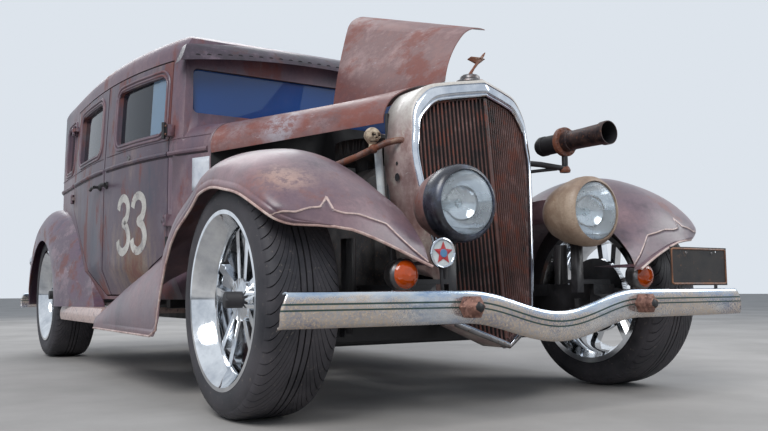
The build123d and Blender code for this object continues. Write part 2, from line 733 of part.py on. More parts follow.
def fender_form(inset):
    # the arch is turned about the axle and the tail runs straight down to the running board
    hub = (0, FRONT_Y, FRONT_TYRE_R)
    axle = Axis(hub, (1, 0, 0))
    section_at_top = Location(hub)
    with BuildPart(mode=Mode.PRIVATE) as arch:
        for angle, drop in FENDER_DROPS:
            add(fender_section(inset, 90, drop).moved(section_at_top).rotate(axle, angle))
        loft()
    tail_drop = FENDER_DROPS[0][1]
    tail_section = fender_section(inset, -110, tail_drop).moved(section_at_top).rotate(axle, -TAIL_SLOPE)
    with BuildPart(mode=Mode.PRIVATE) as tail:
        add(tail_section)
        extrude(amount=1700, dir=Vector(0, cos(radians(TAIL_SLOPE)), -sin(radians(TAIL_SLOPE))))
    nose = FRONT_Y
    with BuildPart(mode=Mode.PRIVATE) as plan:
        with BuildSketch():
            with BuildLine():
                ThreePointArc(
                    (FENDER_OUT - inset, nose - 190), (842 - 0.9 * inset, nose - 318 + 0.6 * inset),
                    (712 - 0.4 * inset, nose - 404 + inset),
                )
                ThreePointArc(
                    (712 - 0.4 * inset, nose - 404 + inset), (560, nose - 436 + inset),
                    (FENDER_IN + inset, nose - 448 + inset),
                )
                Polyline(
                    (FENDER_IN + inset, nose - 448 + inset), (FENDER_IN + inset, -950.0 + inset),
                    (520.0, COWL_FRONT_Y), (590.0, CABIN_FRONT_Y), (660.0, TAIL_END_Y - inset),
                    (FENDER_OUT - inset, TAIL_END_Y - inset), (FENDER_OUT - inset, nose - 190),
                )
            make_face()
        extrude(amount=1000)
    form = (arch.part + tail.part) & plan.part
    clear = SEAT_GAP + inset
    return form - cabin_form(-clear) - cowl_form(-clear, COWL_FRONT_Y - clear)


def front_opening():
    # the wheel opening, seen from the side
    y = FRONT_Y
    with BuildPart(mode=Mode.PRIVATE) as opening:
        with BuildSketch(Plane.YZ.offset(440)):
            with BuildLine():
                ThreePointArc((y - 225, 612), (y - 80, 652), (y + 20, 662))
                ThreePointArc((y + 20, 662), (y + 250, 590), (y + 400, 490))
                ThreePointArc((y + 400, 490), (y + 475, 370), (y + 500, 212))
                Polyline((y + 500, 212), (y + 500, 100), (y - 225, 100), (y - 225, 612))
            make_face()
        extrude(amount=520)
    return opening.part


with BuildPart() as nose_cut:
    # below the fender's front edge, seen from the front
    with BuildSketch(Plane.XZ.offset(-FRONT_Y + 150)):
        with BuildLine():
            Polyline(
                (380, 415), (412, 424), (550, 487), (652, 523), (735, 526), (800, 536), (842, 562), (900, 622),
                (900, 50), (380, 50), close=True,
            )
        make_face()
    extrude(amount=600)
with BuildPart() as apron_cut:
    # the suspension and engine side below the inner edge
    add(boxed((300, 640), (FRONT_Y - 398, FRONT_Y + 560), (0, 560)))
    add(boxed((300, 560), (FRONT_Y - 398, COWL_FRONT_Y + 60), (0, 600)))
with BuildPart() as tail_floor:
    add(boxed((300, 950), (-1900, 200), (0, TAIL_BOTTOM)))
fender_skin = fender_form(0) - fender_form(FENDER_T)
fender_left = fender_skin - front_opening() - nose_cut.part - apron_cut.part - tail_floor.part
with BuildPart() as front_fenders:
    add(fender_left)
    add(mirrored(fender_left))
save(front_fenders.part, "front_fenders")

# Rear fenders
FENDER_REAR_IN = 715.0
# x, y of front foot, mid front (y, z), top z, mid rear (y, z), y of rear foot
REAR_FENDER_STATIONS = [
    (765.0, 400.0, (770.0, 682.0), 845.0, (1668.0, 700.0), 1830.0),
    (838.0, 640.0, (905.0, 668.0), 806.0, (1610.0, 668.0), 1760.0),
    (FENDER_OUT, 790.0, (985.0, 628.0), 742.0, (1560.0, 622.0), 1690.0),
]
REAR_FOOT_Z = BOARD_TOP + SEAT_GAP


def rear_fender_section(x, values, inset):
    front_y, front_mid, top, rear_mid, rear_y = values
    with BuildSketch(Plane.YZ.offset(x), mode=Mode.PRIVATE) as section:
        with BuildLine():
            ThreePointArc(
                (front_y + inset, REAR_FOOT_Z), (front_mid[0] + 0.8 * inset, front_mid[1] - 0.6 * inset),
                (REAR_Y, top - inset),
            )
            ThreePointArc(
                (REAR_Y, top - inset), (rear_mid[0] - 0.8 * inset, rear_mid[1] - 0.6 * inset),
                (rear_y - inset, REAR_FOOT_Z),
            )
            Line((rear_y - inset, REAR_FOOT_Z), (front_y + inset, REAR_FOOT_Z))
        make_face()
    return section.sketch


def rear_fender_form(inset):
    # lofted from beside the body out to the skirt, and run straight in below the body's tucked sill
    with BuildPart(mode=Mode.PRIVATE) as form:
        for x, *values in REAR_FENDER_STATIONS:
            add(rear_fender_section(x - inset if x == FENDER_OUT else x, values, inset))
        loft()
        root_x, *root_values = REAR_FENDER_STATIONS[0]
        add(extrude(
            rear_fender_section(FENDER_REAR_IN + inset, root_values, inset),
            amount=root_x - FENDER_REAR_IN - inset + 0.5, mode=Mode.PRIVATE,
        ))
    return form.part


with BuildPart() as rear_opening:
    with BuildSketch(Plane.YZ.offset(700)):
        with BuildLine():
            ThreePointArc((REAR_Y - 455, 200), (REAR_Y, 662), (REAR_Y + 420, 200))
            Line((REAR_Y + 420, 200), (REAR_Y - 455, 200))
        make_face()
    extrude(amount=300)
TUB_END_X = FENDER_REAR_IN + 62
with BuildPart() as tub:
    add(well_cylinder(WELL_R - SEAT_GAP, WELL_IN + SEAT_GAP, TUB_END_X))
    add(well_cylinder(WELL_R - WELL_T, WELL_IN + WELL_T), mode=Mode.SUBTRACT)
    # open below, for the axle
    add(boxed((500, 900), (REAR_Y - 500, REAR_Y + 500), (-200, REAR_FLOOR_Z - FLOOR_T)), mode=Mode.SUBTRACT)
rear_left = rear_fender_form(0) - rear_fender_form(FENDER_T) - rear_opening.part
rear_left = rear_left - cabin_form(-SEAT_GAP) - well_cylinder(WELL_R, FENDER_REAR_IN - 10, TUB_END_X)
with BuildPart() as rear_fenders:
    for piece in (rear_left, tub.part):
        add(piece)
        add(mirrored(piece))
save(rear_fenders.part, "rear_fenders")

# Running boards, on brackets from the frame
board_under = BOARD_TOP - BOARD_PLATE
board_low = BOARD_TOP - BOARD_T
with BuildPart() as board:
    with BuildSketch(Plane.XZ.offset(-TAIL_END_Y - SEAT_GAP)):
        with BuildLine():
            Polyline(
                (BOARD_IN, BOARD_TOP), (BOARD_IN, board_under), (BOARD_OUT - 12, board_under),
                (BOARD_OUT - 12, board_low), (BOARD_OUT - 6, board_low),
            )
            ThreePointArc(
                (BOARD_OUT - 6, board_low), (BOARD_OUT, BOARD_TOP - BOARD_T / 2), (BOARD_OUT - 10, BOARD_TOP)
            )
            Line((BOARD_OUT - 10, BOARD_TOP), (BOARD_IN, BOARD_TOP))
        make_face()
    extrude(amount=-(BOARD_REAR_Y - TAIL_END_Y - SEAT_GAP))
    for y in (100, 400, 700):
        add(boxed((RAIL_X + RAIL_W / 2, BOARD_OUT - 20), (y - 20, y + 20), (board_under - 22, board_under)))
with BuildPart() as running_boards:
    add(board.part)
    add(mirrored(board.part))
save(running_boards.part, "running_boards")

# Frame
rail_low = RAIL_TOP - RAIL_H
front_top = RAIL_TOP + FRONT_RISE
kick_top = RAIL_TOP + KICK_RISE
kick_low = rail_low + KICK_RISE + 12
# y, z round one rail: along its top from front to rear, and back below
rail_profile = [
    (RAIL_FRONT_Y, front_top - 30), (RAIL_FRONT_Y, front_top), (-1150, front_top), (-1000, RAIL_TOP),
    (REAR_FLOOR_Y + 12, RAIL_TOP), (REAR_FLOOR_Y + 150, kick_top), (REAR_Y + 250, kick_top),
    (RAIL_REAR_Y, kick_top - 40), (RAIL_REAR_Y, kick_top - 110), (REAR_Y + 250, kick_low),
    (REAR_Y - 150, kick_low), (REAR_Y - 330, rail_low), (-1000, rail_low), (-1150, rail_low + FRONT_RISE),
    (-1700, rail_low + FRONT_RISE),
]
# cross members: first y, last y, lowest z, highest z
cross_members = [
    (-1570, -1490, front_top - 40, front_top),
    (-730, -670, rail_low, rail_low + 50),
    (60, 120, rail_low, rail_low + 34),
    (REAR_Y + 130, REAR_Y + 180, kick_top - 60, kick_top),
]
with BuildPart() as chassis_frame:
    for side in (-1, 1):
        add(side_prism(rail_profile, (side * RAIL_X - RAIL_W / 2, side * RAIL_X + RAIL_W / 2)))
    for front, rear, low, high in cross_members:
        add(boxed((-RAIL_X, RAIL_X), (front, rear), (low, high)))
    # body outriggers
    for y in (-250, 600):
        for side in (-1, 1):
            inner, outer = sorted((side * RAIL_X, side * OUTRIGGER_X))
            add(boxed((inner, outer), (y - 25, y + 25), (RAIL_TOP - 36, RAIL_TOP)))
save(chassis_frame.part, "chassis_frame")

# Front axle: a dropped beam with a boss for each kingpin
with BuildPart() as front_axle:
    with BuildSketch(Plane.XZ.offset(-FRONT_Y + BEAM_W / 2)):
        with BuildLine():
            top = BEAM_Z + BEAM_H / 2
            bottom = BEAM_Z - BEAM_H / 2
            hub_z = FRONT_TYRE_R
            Polyline(
                (0, bottom), (470, bottom), (580, hub_z - 30), (KINGPIN_X, hub_z - 30),
                (KINGPIN_X, hub_z + 26), (560, hub_z + 26), (455, top), (0, top),
            )
            mirror(about=Plane.YZ)
        make_face()
    extrude(amount=-BEAM_W)
    for side in (-1, 1):
        with BuildSketch(Plane.XY.offset(FRONT_TYRE_R - KINGPIN_BOSS_H / 2)):
            with Locations((side * KINGPIN_X, FRONT_Y)):
                Circle(KINGPIN_BOSS_R)
        extrude(amount=KINGPIN_BOSS_H)
        with BuildSketch(Plane.XY.offset(FRONT_TYRE_R - KINGPIN_BOSS_H / 2)):
            with Locations((side * KINGPIN_X, FRONT_Y)):
                Circle(KINGPIN_R + PIN_GAP)
        extrude(amount=KINGPIN_BOSS_H, mode=Mode.SUBTRACT)
save(front_axle.part, "front_axle")

# Knuckles: a fork round the boss with the kingpin, a spindle outward and the steering arm back
SPINDLE_R = HUB_BORE_R - BEARING_GAP
SPINDLE_TIP_X = TRACK_HALF + 92
PIVOT_R = 8.0
arm_x = KINGPIN_X
with BuildPart() as knuckle_left:
    plate_gap = KINGPIN_BOSS_H / 2 + SEAT_GAP
    for z in (FRONT_TYRE_R + plate_gap, FRONT_TYRE_R - plate_gap - KNUCKLE_PLATE):
        with BuildSketch(Plane.XY.offset(z)):
            with Locations((KINGPIN_X, FRONT_Y)):
                SlotCenterToCenter(2, 2 * KINGPIN_BOSS_R)
            with Locations((KINGPIN_X + 20, FRONT_Y)):
                Rectangle(40, 2 * KINGPIN_BOSS_R)
        extrude(amount=KNUCKLE_PLATE)
    with BuildSketch(Plane.XY.offset(FRONT_TYRE_R - plate_gap - 1)):
        with Locations((KINGPIN_X, FRONT_Y)):
            Circle(KINGPIN_R)
    extrude(amount=2 * plate_gap + 2)
    upright_x = KINGPIN_X + KINGPIN_BOSS_R + 5
    add(boxed(
        (upright_x, upright_x + 16), (FRONT_Y - 34, FRONT_Y + 34),
        (FRONT_TYRE_R - plate_gap - KNUCKLE_PLATE, FRONT_TYRE_R + plate_gap + KNUCKLE_PLATE),
    ))
    with BuildSketch(Plane.YZ.offset(upright_x + 8)):
        with Locations((FRONT_Y, FRONT_TYRE_R)):
            Circle(SPINDLE_R)
    extrude(amount=SPINDLE_TIP_X - upright_x - 8)
    # steering arm, down and back
    arm_top = FRONT_TYRE_R - plate_gap - KNUCKLE_PLATE
    add(boxed((arm_x - 12, arm_x + 40), (FRONT_Y - 20, FRONT_Y + 30), (STEER_ARM_Z, arm_top + 1)))
    arm_z = (STEER_ARM_Z, STEER_ARM_Z + STEER_ARM_T)
    add(boxed((arm_x - 12, arm_x + 12), (FRONT_Y + 20, FRONT_Y + STEER_ARM_L), arm_z))
    with BuildSketch(Plane.XY.offset(STEER_ARM_Z)):
        with Locations((arm_x, FRONT_Y + STEER_ARM_L)):
            Circle(18)
    extrude(amount=STEER_ARM_T)
    with BuildSketch(Plane.XY.offset(STEER_ARM_Z)):
        with Locations((arm_x, FRONT_Y + STEER_ARM_L)):
            Circle(PIVOT_R + PIN_GAP)
    extrude(amount=STEER_ARM_T, mode=Mode.SUBTRACT)
save(knuckle_left.part, "knuckle_left")
save(mirrored(knuckle_left.part), "knuckle_right")

with BuildPart() as tie_rod:
    rod_z = STEER_ARM_Z - SEAT_GAP - 14
    rod_y = FRONT_Y + STEER_ARM_L
    with BuildSketch(Plane.YZ.offset(-arm_x)):
        with Locations((rod_y, rod_z)):
            Circle(TIE_ROD_R)
    extrude(amount=2 * arm_x)
    for side in (-1, 1):
        with BuildSketch(Plane.XY.offset(rod_z - 14)):
            with Locations((side * arm_x, rod_y)):
                Circle(17)
        extrude(amount=28)
        with BuildSketch(Plane.XY.offset(rod_z + 10)):
            with Locations((side * arm_x, rod_y)):
                Circle(PIVOT_R)
        extrude(amount=22)
save(tie_rod.part, "tie_rod")

# Wheels

def spoke_plate(spoke_in, spoke_out, lean):
    # one of the two legs of a spoke pair, pointing along Y from the wheel's middle
    with BuildPart(mode=Mode.PRIVATE) as spoke:
        with BuildSketch(Plane.YZ.offset(TRACK_HALF + 12)):
            with BuildLine():
                Polyline(
                    (spoke_in, lean * 8), (spoke_in, lean * 30), (spoke_out, lean * 52), (spoke_out, lean * 28),
                    close=True,
                )
            make_face()
        extrude(amount=SPOKE_T)
    return spoke.part


def wheel_parts(y, tyre_r, bore_r):
    # the left wheel of an axle, turned about its own axis: rim with spokes and brake disc, and tyre
    outer_x = TRACK_HALF + RIM_W / 2
    inner_x = TRACK_HALF - RIM_W / 2
    spin = Axis((0, y, tyre_r), (1, 0, 0))
    bead_r = RIM_LIP_R - 16
    with BuildPart(mode=Mode.PRIVATE) as rim:
        with BuildSketch(Plane.XY.offset(tyre_r)):
            with BuildLine():
                Polyline(
                    (inner_x, y + RIM_LIP_R - 4), (inner_x, y + bead_r - RIM_WALL),
                    (inner_x + 60, y + bead_r - 34), (outer_x - RIM_LIP_DEPTH, y + bead_r - 40),
                    (outer_x - 16, y + bead_r - RIM_WALL - 2), (outer_x, y + RIM_LIP_R - 12),
                    (outer_x, y + RIM_LIP_R), (outer_x - 8, y + RIM_LIP_R), (outer_x - 16, y + bead_r),
                    (outer_x - RIM_LIP_DEPTH, y + bead_r - 30), (inner_x + 60, y + bead_r - 24),
                    (inner_x + 8, y + bead_r), (inner_x + 8, y + RIM_LIP_R - 4), close=True,
                )
            make_face()
        revolve(axis=spin)
        # hub barrel and brake disc
        with BuildSketch(Plane.YZ.offset(TRACK_HALF - 60)):
            with Locations((y, tyre_r)):
                Circle(HUB_R)
        extrude(amount=110)
        with BuildSketch(Plane.YZ.offset(TRACK_HALF - 60)):
            with Locations((y, tyre_r)):
                Circle(BRAKE_R)
        extrude(amount=BRAKE_W)
        # five pairs of spokes, from the hub out to the barrel
        spoke_in = HUB_R - 8
        spoke_out = bead_r - 30
        for index in range(SPOKE_PAIRS):
            turn = 360.0 / SPOKE_PAIRS * index + 90
            for lean in (-1, 1):
                spoke = spoke_plate(spoke_in, spoke_out, lean)
                add(spoke.rotate(Axis.X, turn).moved(Location((0, y, tyre_r))))
        with BuildSketch(Plane.YZ.offset(TRACK_HALF - 61)):
            with Locations((y, tyre_r)):
                Circle(bore_r)
        extrude(amount=SPINDLE_TIP_X + 1 - TRACK_HALF + 61 - 30, mode=Mode.SUBTRACT)
    with BuildPart(mode=Mode.PRIVATE) as tyre:
        half = TYRE_W / 2
        s = TYRE_SHOULDER
        seat = bead_r + SEAT_GAP
        with BuildSketch(Plane.XY.offset(tyre_r)):
            with BuildLine():
                x0 = TRACK_HALF
                wall_r = RIM_LIP_R + 30
                Polyline(
                    (x0 - RIM_W / 2 + 9, y + seat), (x0 - half + 2, y + RIM_LIP_R + 4), (x0 - half, y + wall_r),
                    (x0 - half + s * 0.3, y + tyre_r - s * 0.5), (x0 - half + s * 1.1, y + tyre_r - 3),
                    (x0 - half * 0.4, y + tyre_r), (x0 + half * 0.4, y + tyre_r),
                    (x0 + half - s * 1.1, y + tyre_r - 3), (x0 + half - s * 0.3, y + tyre_r - s * 0.5),
                    (x0 + half, y + wall_r), (x0 + half - 2, y + RIM_LIP_R + 4),
                    (x0 + RIM_W / 2 - 17, y + seat), close=True,
                )
            make_face()
        revolve(axis=spin)
    return rim.part, tyre.part - rim.part


for axle_name, y, tyre_r in (("front", FRONT_Y, FRONT_TYRE_R), ("rear", REAR_Y, REAR_TYRE_R)):
    rim_part, tyre_part = wheel_parts(y, tyre_r, HUB_BORE_R)
    save(rim_part, f"rim_{axle_name}_left")
    save(mirrored(rim_part), f"rim_{axle_name}_right")
    save(tyre_part, f"tyre_{axle_name}_left")
    save(mirrored(tyre_part), f"tyre_{axle_name}_right")

# Rear axle with its differential and the propeller shaft
GEARBOX_END_Y = -260.0
with BuildPart() as rear_axle:
    with BuildSketch(Plane.YZ.offset(-SPINDLE_TIP_X)):
        with Locations((REAR_Y, REAR_TYRE_R)):
            Circle(SPINDLE_R)
    extrude(amount=2 * SPINDLE_TIP_X)
    with BuildSketch(Plane.YZ.offset(-TRACK_HALF + 70)):
        with Locations((REAR_Y, REAR_TYRE_R)):
            Circle(40)
    extrude(amount=2 * (TRACK_HALF - 70))
    with BuildSketch(Plane.XY.offset(REAR_TYRE_R)):
        with BuildLine():
            Polyline((-110, REAR_Y), (-60, REAR_Y + 120), (60, REAR_Y + 120), (110, REAR_Y), close=True)
        make_face()
    revolve(axis=Axis((0, REAR_Y, REAR_TYRE_R), (1, 0, 0)))
    with BuildSketch(Plane.XZ.offset(-REAR_Y + 100)):
        with Locations((0, REAR_TYRE_R)):
            Circle(34)
    extrude(amount=REAR_Y - 100 - GEARBOX_END_Y - SEAT_GAP)
save(rear_axle.part, "rear_axle")

# Springs and dampers
SPRING_W = 46.0


def leaf_spring(x, y, half_length, low_z, rise, leaves):
    # a stack of leaves, lowest in the middle, one arc per face
    thickness = 8.0 * leaves
    with BuildPart(mode=Mode.PRIVATE) as spring:
        with BuildSketch(Plane.YZ.offset(x - SPRING_W / 2)):
            with BuildLine():
                ThreePointArc((y - half_length, low_z + rise), (y, low_z), (y + half_length, low_z + rise))
                Line((y + half_length, low_z + rise), (y + half_length, low_z + rise + 8))
                ThreePointArc(
                    (y + half_length, low_z + rise + 8), (y, low_z + thickness),
                    (y - half_length, low_z + rise + 8),
                )
                Line((y - half_length, low_z + rise + 8), (y - half_length, low_z + rise))
            make_face()
        extrude(amount=SPRING_W)
    return spring.part


SPRING_X = 300.0
SPRING_RISE = 26.0
DAMPER_X = 446.0
DAMPER_R = 24.0
DAMPER_Y = FRONT_Y - BEAM_W / 2 - DAMPER_R - 4
rail_inner = RAIL_X - RAIL_W / 2
with BuildPart() as springs_and_dampers:
    beam_top = BEAM_Z + BEAM_H / 2
    rear_spring_low = REAR_TYRE_R - 40 - SEAT_GAP - 32
    for side in (-1, 1):
        # columns: middle y, half length, lowest z, leaves, top of the hanger at the front and rear end
        for y, half_length, low_z, leaves, hanger_tops in (
            (FRONT_Y, 290, beam_top + SEAT_GAP, 3, (330, 330)),
            (REAR_Y, 430, rear_spring_low, 4, (rear_spring_low + 50, 470)),
        ):
            add(leaf_spring(side * SPRING_X, y, half_length, low_z, SPRING_RISE, leaves))
            for end, hanger_top in zip((-1, 1), hanger_tops):
                end_y = y + end * (half_length - 14)
                inner, outer = sorted((side * (SPRING_X - 8), side * (SPRING_X + 12)))
                add(boxed((inner, outer), (end_y - 10, end_y + 10), (low_z + SPRING_RISE, hanger_top)))
                inner, outer = sorted((side * (SPRING_X - 8), side * rail_inner))
                add(boxed((inner, outer), (end_y - 10, end_y + 10), (hanger_top - 20, hanger_top)))
        # front damper, from a lug on the beam up to a bracket on the rail
        with BuildSketch(Plane.XY.offset(320)):
            with Locations((side * DAMPER_X, DAMPER_Y)):
                Circle(DAMPER_R)
        extrude(amount=200)
        with BuildSketch(Plane.XY.offset(BEAM_Z)):
            with Locations((side * DAMPER_X, DAMPER_Y)):
                Circle(9)
        extrude(amount=90)
        lug_x = (side * DAMPER_X - 14, side * DAMPER_X + 14)
        add(boxed(lug_x, (DAMPER_Y, FRONT_Y - BEAM_W / 2), (BEAM_Z - 12, BEAM_Z + 12)))
        inner, outer = sorted((side * (RAIL_X + RAIL_W / 2), side * DAMPER_X))
        add(boxed((inner, outer), (DAMPER_Y - 12, DAMPER_Y + 12), (345, 370)))
save(springs_and_dampers.part, "springs_and_dampers")

# Engine with its gearbox
ENGINE_Y = (-1290.0, -700.0)
ENGINE_HALF = 190.0
ENGINE_TOP = 690.0
SUMP_HALF = 110.0
SUMP_Z = 240.0
HEAD_W = 150.0
HEAD_H = 130.0
HEAD_X = 120.0
HEAD_TURN = 35.0
CLEANER_NECK_R = 85.0
CLEANER_NECK_H = 179.0
CLEANER_R = 165.0
CLEANER_H = 70.0
FAN_Z = 560.0
FAN_R = 190.0
FAN_SHAFT_R = 45.0
FAN_SHAFT_L = 60.0
head_block = boxed((-HEAD_W / 2, HEAD_W / 2), (ENGINE_Y[0] + 10, ENGINE_Y[1] - 20), (0, HEAD_H))
with BuildPart() as engine:
    add(boxed((-ENGINE_HALF, ENGINE_HALF), ENGINE_Y, (RAIL_TOP + 20, ENGINE_TOP)))
    add(boxed((-SUMP_HALF, SUMP_HALF), (ENGINE_Y[0] + 30, ENGINE_Y[1] - 30), (SUMP_Z, RAIL_TOP + 21)))
    for side in (-1, 1):
        add(head_block.rotate(Axis.Y, side * HEAD_TURN).moved(Location((side * HEAD_X, 0, ENGINE_TOP - 30))))
    for low, radius, height in (
        (ENGINE_TOP - 1, CLEANER_NECK_R, CLEANER_NECK_H + 1),
        (ENGINE_TOP - 1 + CLEANER_NECK_H, CLEANER_R, CLEANER_H),
    ):
        with BuildSketch(Plane.XY.offset(low)):
            with Locations((0, sum(ENGINE_Y) / 2)):
                Circle(radius)
        extrude(amount=height)
    for back, radius, length in ((0, FAN_SHAFT_R, FAN_SHAFT_L), (FAN_SHAFT_L - 2, FAN_R, 10)):
        with BuildSketch(Plane.XZ.offset(-ENGINE_Y[0] + back)):
            with Locations((0, FAN_Z)):
                Circle(radius)
        extrude(amount=length)
    add(boxed((-95, 95), (ENGINE_Y[1] - 1, COWL_FRONT_Y - 15), (290, 520)))
    add(boxed((-85, 85), (COWL_FRONT_Y - 16, GEARBOX_END_Y), (290, 430)))
    for side in (-1, 1):
        inner, outer = sorted((side * 100, side * (RAIL_X - RAIL_W / 2 - SEAT_GAP)))
        add(boxed((inner, outer), (-1080, -1000), (RAIL_TOP - 30, RAIL_TOP + 23)))
save(engine.part, "engine")

# Exhaust: one pipe with a muffler under the floor
PIPE_X = 240.0
PIPE_Z = 188.0
PIPE_R = 26.0
with BuildPart() as exhaust:
    with BuildLine() as route:
        FilletPolyline(
            (PIPE_X, -920, 480), (PIPE_X, -920, 230), (PIPE_X, -780, PIPE_Z), (PIPE_X, 1200, PIPE_Z),
            (PIPE_X, 1720, PIPE_Z + 17), radius=50,
        )
    with BuildSketch(Plane(route.line @ 0, z_dir=route.line % 0)):
        Circle(PIPE_R)
    sweep()
    with BuildSketch(Plane.XZ.offset(-420)):
        with Locations((PIPE_X, PIPE_Z + 2)):
            Ellipse(85, 42)
    extrude(amount=-420)
    # flange at the engine and a hanger under the middle cross member
    add(boxed((ENGINE_HALF + SEAT_GAP, PIPE_X + 22), (-942, -898), (460, 480)))
    add(boxed((PIPE_X - 12, PIPE_X + 12), (80, 100), (PIPE_Z + 12, rail_low - SEAT_GAP)))
save(exhaust.part, "exhaust")


# Bumpers

BLADE_ARC_R = (BUMPER_HALF ** 2 + BUMPER_END_BACK ** 2) / (2 * BUMPER_END_BACK)


def blade_bow(x):
    # how far the blade's face lies behind its middle
    return x * x / (2 * BLADE_ARC_R)


def bumper_blade(y_face, back, dip, thickness=BUMPER_T):
    # a blade along X: bowed back at its ends in plan, and dipping between the bolts when dip is given
    half_h = BUMPER_H / 2

    def front_edge(z_shift):
        z = BUMPER_Z + z_shift
        Line((-BUMPER_HALF, z), (-BOLT_X - 50, z))
        Spline(
            (-BOLT_X - 50, z), (-150, z - 0.55 * dip), (0, z - dip), (150, z - 0.55 * dip), (BOLT_X + 50, z),
            tangents=((1, 0), (1, 0)),
        )
        Line((BOLT_X + 50, z), (BUMPER_HALF, z))

    with BuildPart(mode=Mode.PRIVATE) as face:
        with BuildSketch(Plane.XZ.offset(-y_face + 60)):
            with BuildLine():
                front_edge(half_h)
                front_edge(-half_h)
                Line((-BUMPER_HALF, BUMPER_Z + half_h), (-BUMPER_HALF, BUMPER_Z - half_h))
                Line((BUMPER_HALF, BUMPER_Z + half_h), (BUMPER_HALF, BUMPER_Z - half_h))
            make_face()
        extrude(amount=-160)
    with BuildPart(mode=Mode.PRIVATE) as plan:
        with BuildSketch():
            with BuildLine():
                ThreePointArc((-BUMPER_HALF, y_face + back), (0, y_face), (BUMPER_HALF, y_face + back))
                Line((BUMPER_HALF, y_face + back), (BUMPER_HALF, y_face + back + thickness))
                ThreePointArc(
                    (BUMPER_HALF, y_face + back + thickness), (0, y_face + thickness),
                    (-BUMPER_HALF, y_face + back + thickness),
                )
                Line((-BUMPER_HALF, y_face + back + thickness), (-BUMPER_HALF, y_face + back))
            make_face()
        extrude(amount=800)
    return face.part & plan.part


REAR_BUMPER_Y = 2040.0
front_blade = bumper_blade(BUMPER_Y, BUMPER_END_BACK, BUMPER_DIP)
rear_blade = mirror(bumper_blade(-REAR_BUMPER_Y, BUMPER_END_BACK, 0), about=Plane.XZ, mode=Mode.PRIVATE)
with BuildPart() as bumpers:
    add(front_blade)
    add(rear_blade)
save(bumpers.part, "bumpers")

IRON_HALF = 22.0
IRON_PLATE_T = 18.0
iron_back = blade_bow(BOLT_X + IRON_HALF) + BUMPER_T + SEAT_GAP
nut_back_y = BUMPER_Y + blade_bow(BOLT_X - 0.6 * NUT_ACROSS) - SEAT_GAP
with BuildPart() as bumper_irons:
    for side in (-1, 1):
        x = side * BOLT_X
        arm_x_span = (x - IRON_HALF, x + IRON_HALF)
        plate_x_span = sorted((side * (BOLT_X - IRON_HALF), side * (RAIL_X + RAIL_W / 2)))
        # front iron: a plate on the end of the rail and an arm to the blade
        rail_end_y = RAIL_FRONT_Y - SEAT_GAP
        arm_z = (BUMPER_Z - 20, BUMPER_Z + 28)
        add(boxed(plate_x_span, (rail_end_y - IRON_PLATE_T, rail_end_y), (arm_z[0], front_top)))
        add(boxed(arm_x_span, (BUMPER_Y + iron_back, rail_end_y - 1), arm_z))
        # the big nut in front of the blade, with its stud
        with BuildSketch(Plane.XZ.offset(-nut_back_y)):
            with Locations((x, BUMPER_Z)):
                RegularPolygon(NUT_ACROSS / 2, 6, major_radius=False)
        extrude(amount=NUT_H)
        with BuildSketch(Plane.XZ.offset(-nut_back_y + NUT_H - 1)):
            with Locations((x, BUMPER_Z)):
                Circle(STUD_R)
        extrude(amount=19)
        # rear iron
        rail_end_y = RAIL_REAR_Y + SEAT_GAP
        add(boxed(plate_x_span, (rail_end_y, rail_end_y + IRON_PLATE_T), (arm_z[0], kick_top - 42)))
        add(boxed(arm_x_span, (rail_end_y + 1, REAR_BUMPER_Y - iron_back), arm_z))
save(bumper_irons.part, "bumper_irons")

# Number plate, on two brackets behind the bumper at the car's left
PLATE_X = (520.0, 813.0)
PLATE_Z = (370.0, 497.0)
PLATE_Y = -1972.0
PLATE_HOLE_SPACING = 180.0
PLATE_HOLE_R = 3.5
blade_keep = bumper_blade(BUMPER_Y - 40, BUMPER_END_BACK, 0, BUMPER_T + 40 + SEAT_GAP)
with BuildPart() as number_plate:
    for x in (PLATE_X[0] + 60, PLATE_X[1] - 60):
        add(boxed((x - 8, x + 8), (BUMPER_Y, PLATE_Y + 3), (300, 345)))
        add(boxed((x - 8, x + 8), (PLATE_Y + 1, PLATE_Y + 3), (300, 420)))
    add(blade_keep, mode=Mode.SUBTRACT)
    add(boxed(PLATE_X, (PLATE_Y - 1, PLATE_Y + 1), PLATE_Z))
    with BuildSketch(Plane.XZ.offset(-PLATE_Y - 2)):
        with Locations((sum(PLATE_X) / 2, PLATE_Z[1] - 14)):
            with GridLocations(PLATE_HOLE_SPACING, 1, 2, 1):
                Circle(PLATE_HOLE_R)
    extrude(amount=4, mode=Mode.SUBTRACT)
save(number_plate.part, "number_plate")


# Headlamps

def turned(points, x, y, z):
    # a profile of (radius, distance back from the front) turned about a fore and aft axis
    with BuildPart(mode=Mode.PRIVATE) as body:
        with BuildSketch(Plane.XY.offset(z)):
            with BuildLine():
                Polyline(*[(x + radius, y + back) for radius, back in points], close=True)
            make_face()
        revolve(axis=Axis((x, y, z), (0, 1, 0)))
    return body.part


shell_profile = [
    (LENS_R + 2, 0), (LAMP_RIM_R - 10, -8), (LAMP_RIM_R, 6), (LAMP_RIM_R + 2, 40), (LAMP_RIM_R - 8, 90),
    (LAMP_RIM_R - 34, 140), (LAMP_RIM_R - 72, 180), (0, LAMP_DEPTH), (0, LAMP_DEPTH - 4),
    (LAMP_RIM_R - 76, 174), (LAMP_RIM_R - 38, 136), (LAMP_RIM_R - 12, 88), (LAMP_RIM_R - 3, 40),
    (LAMP_RIM_R - 5, 8), (LENS_R + 2, 6),
]
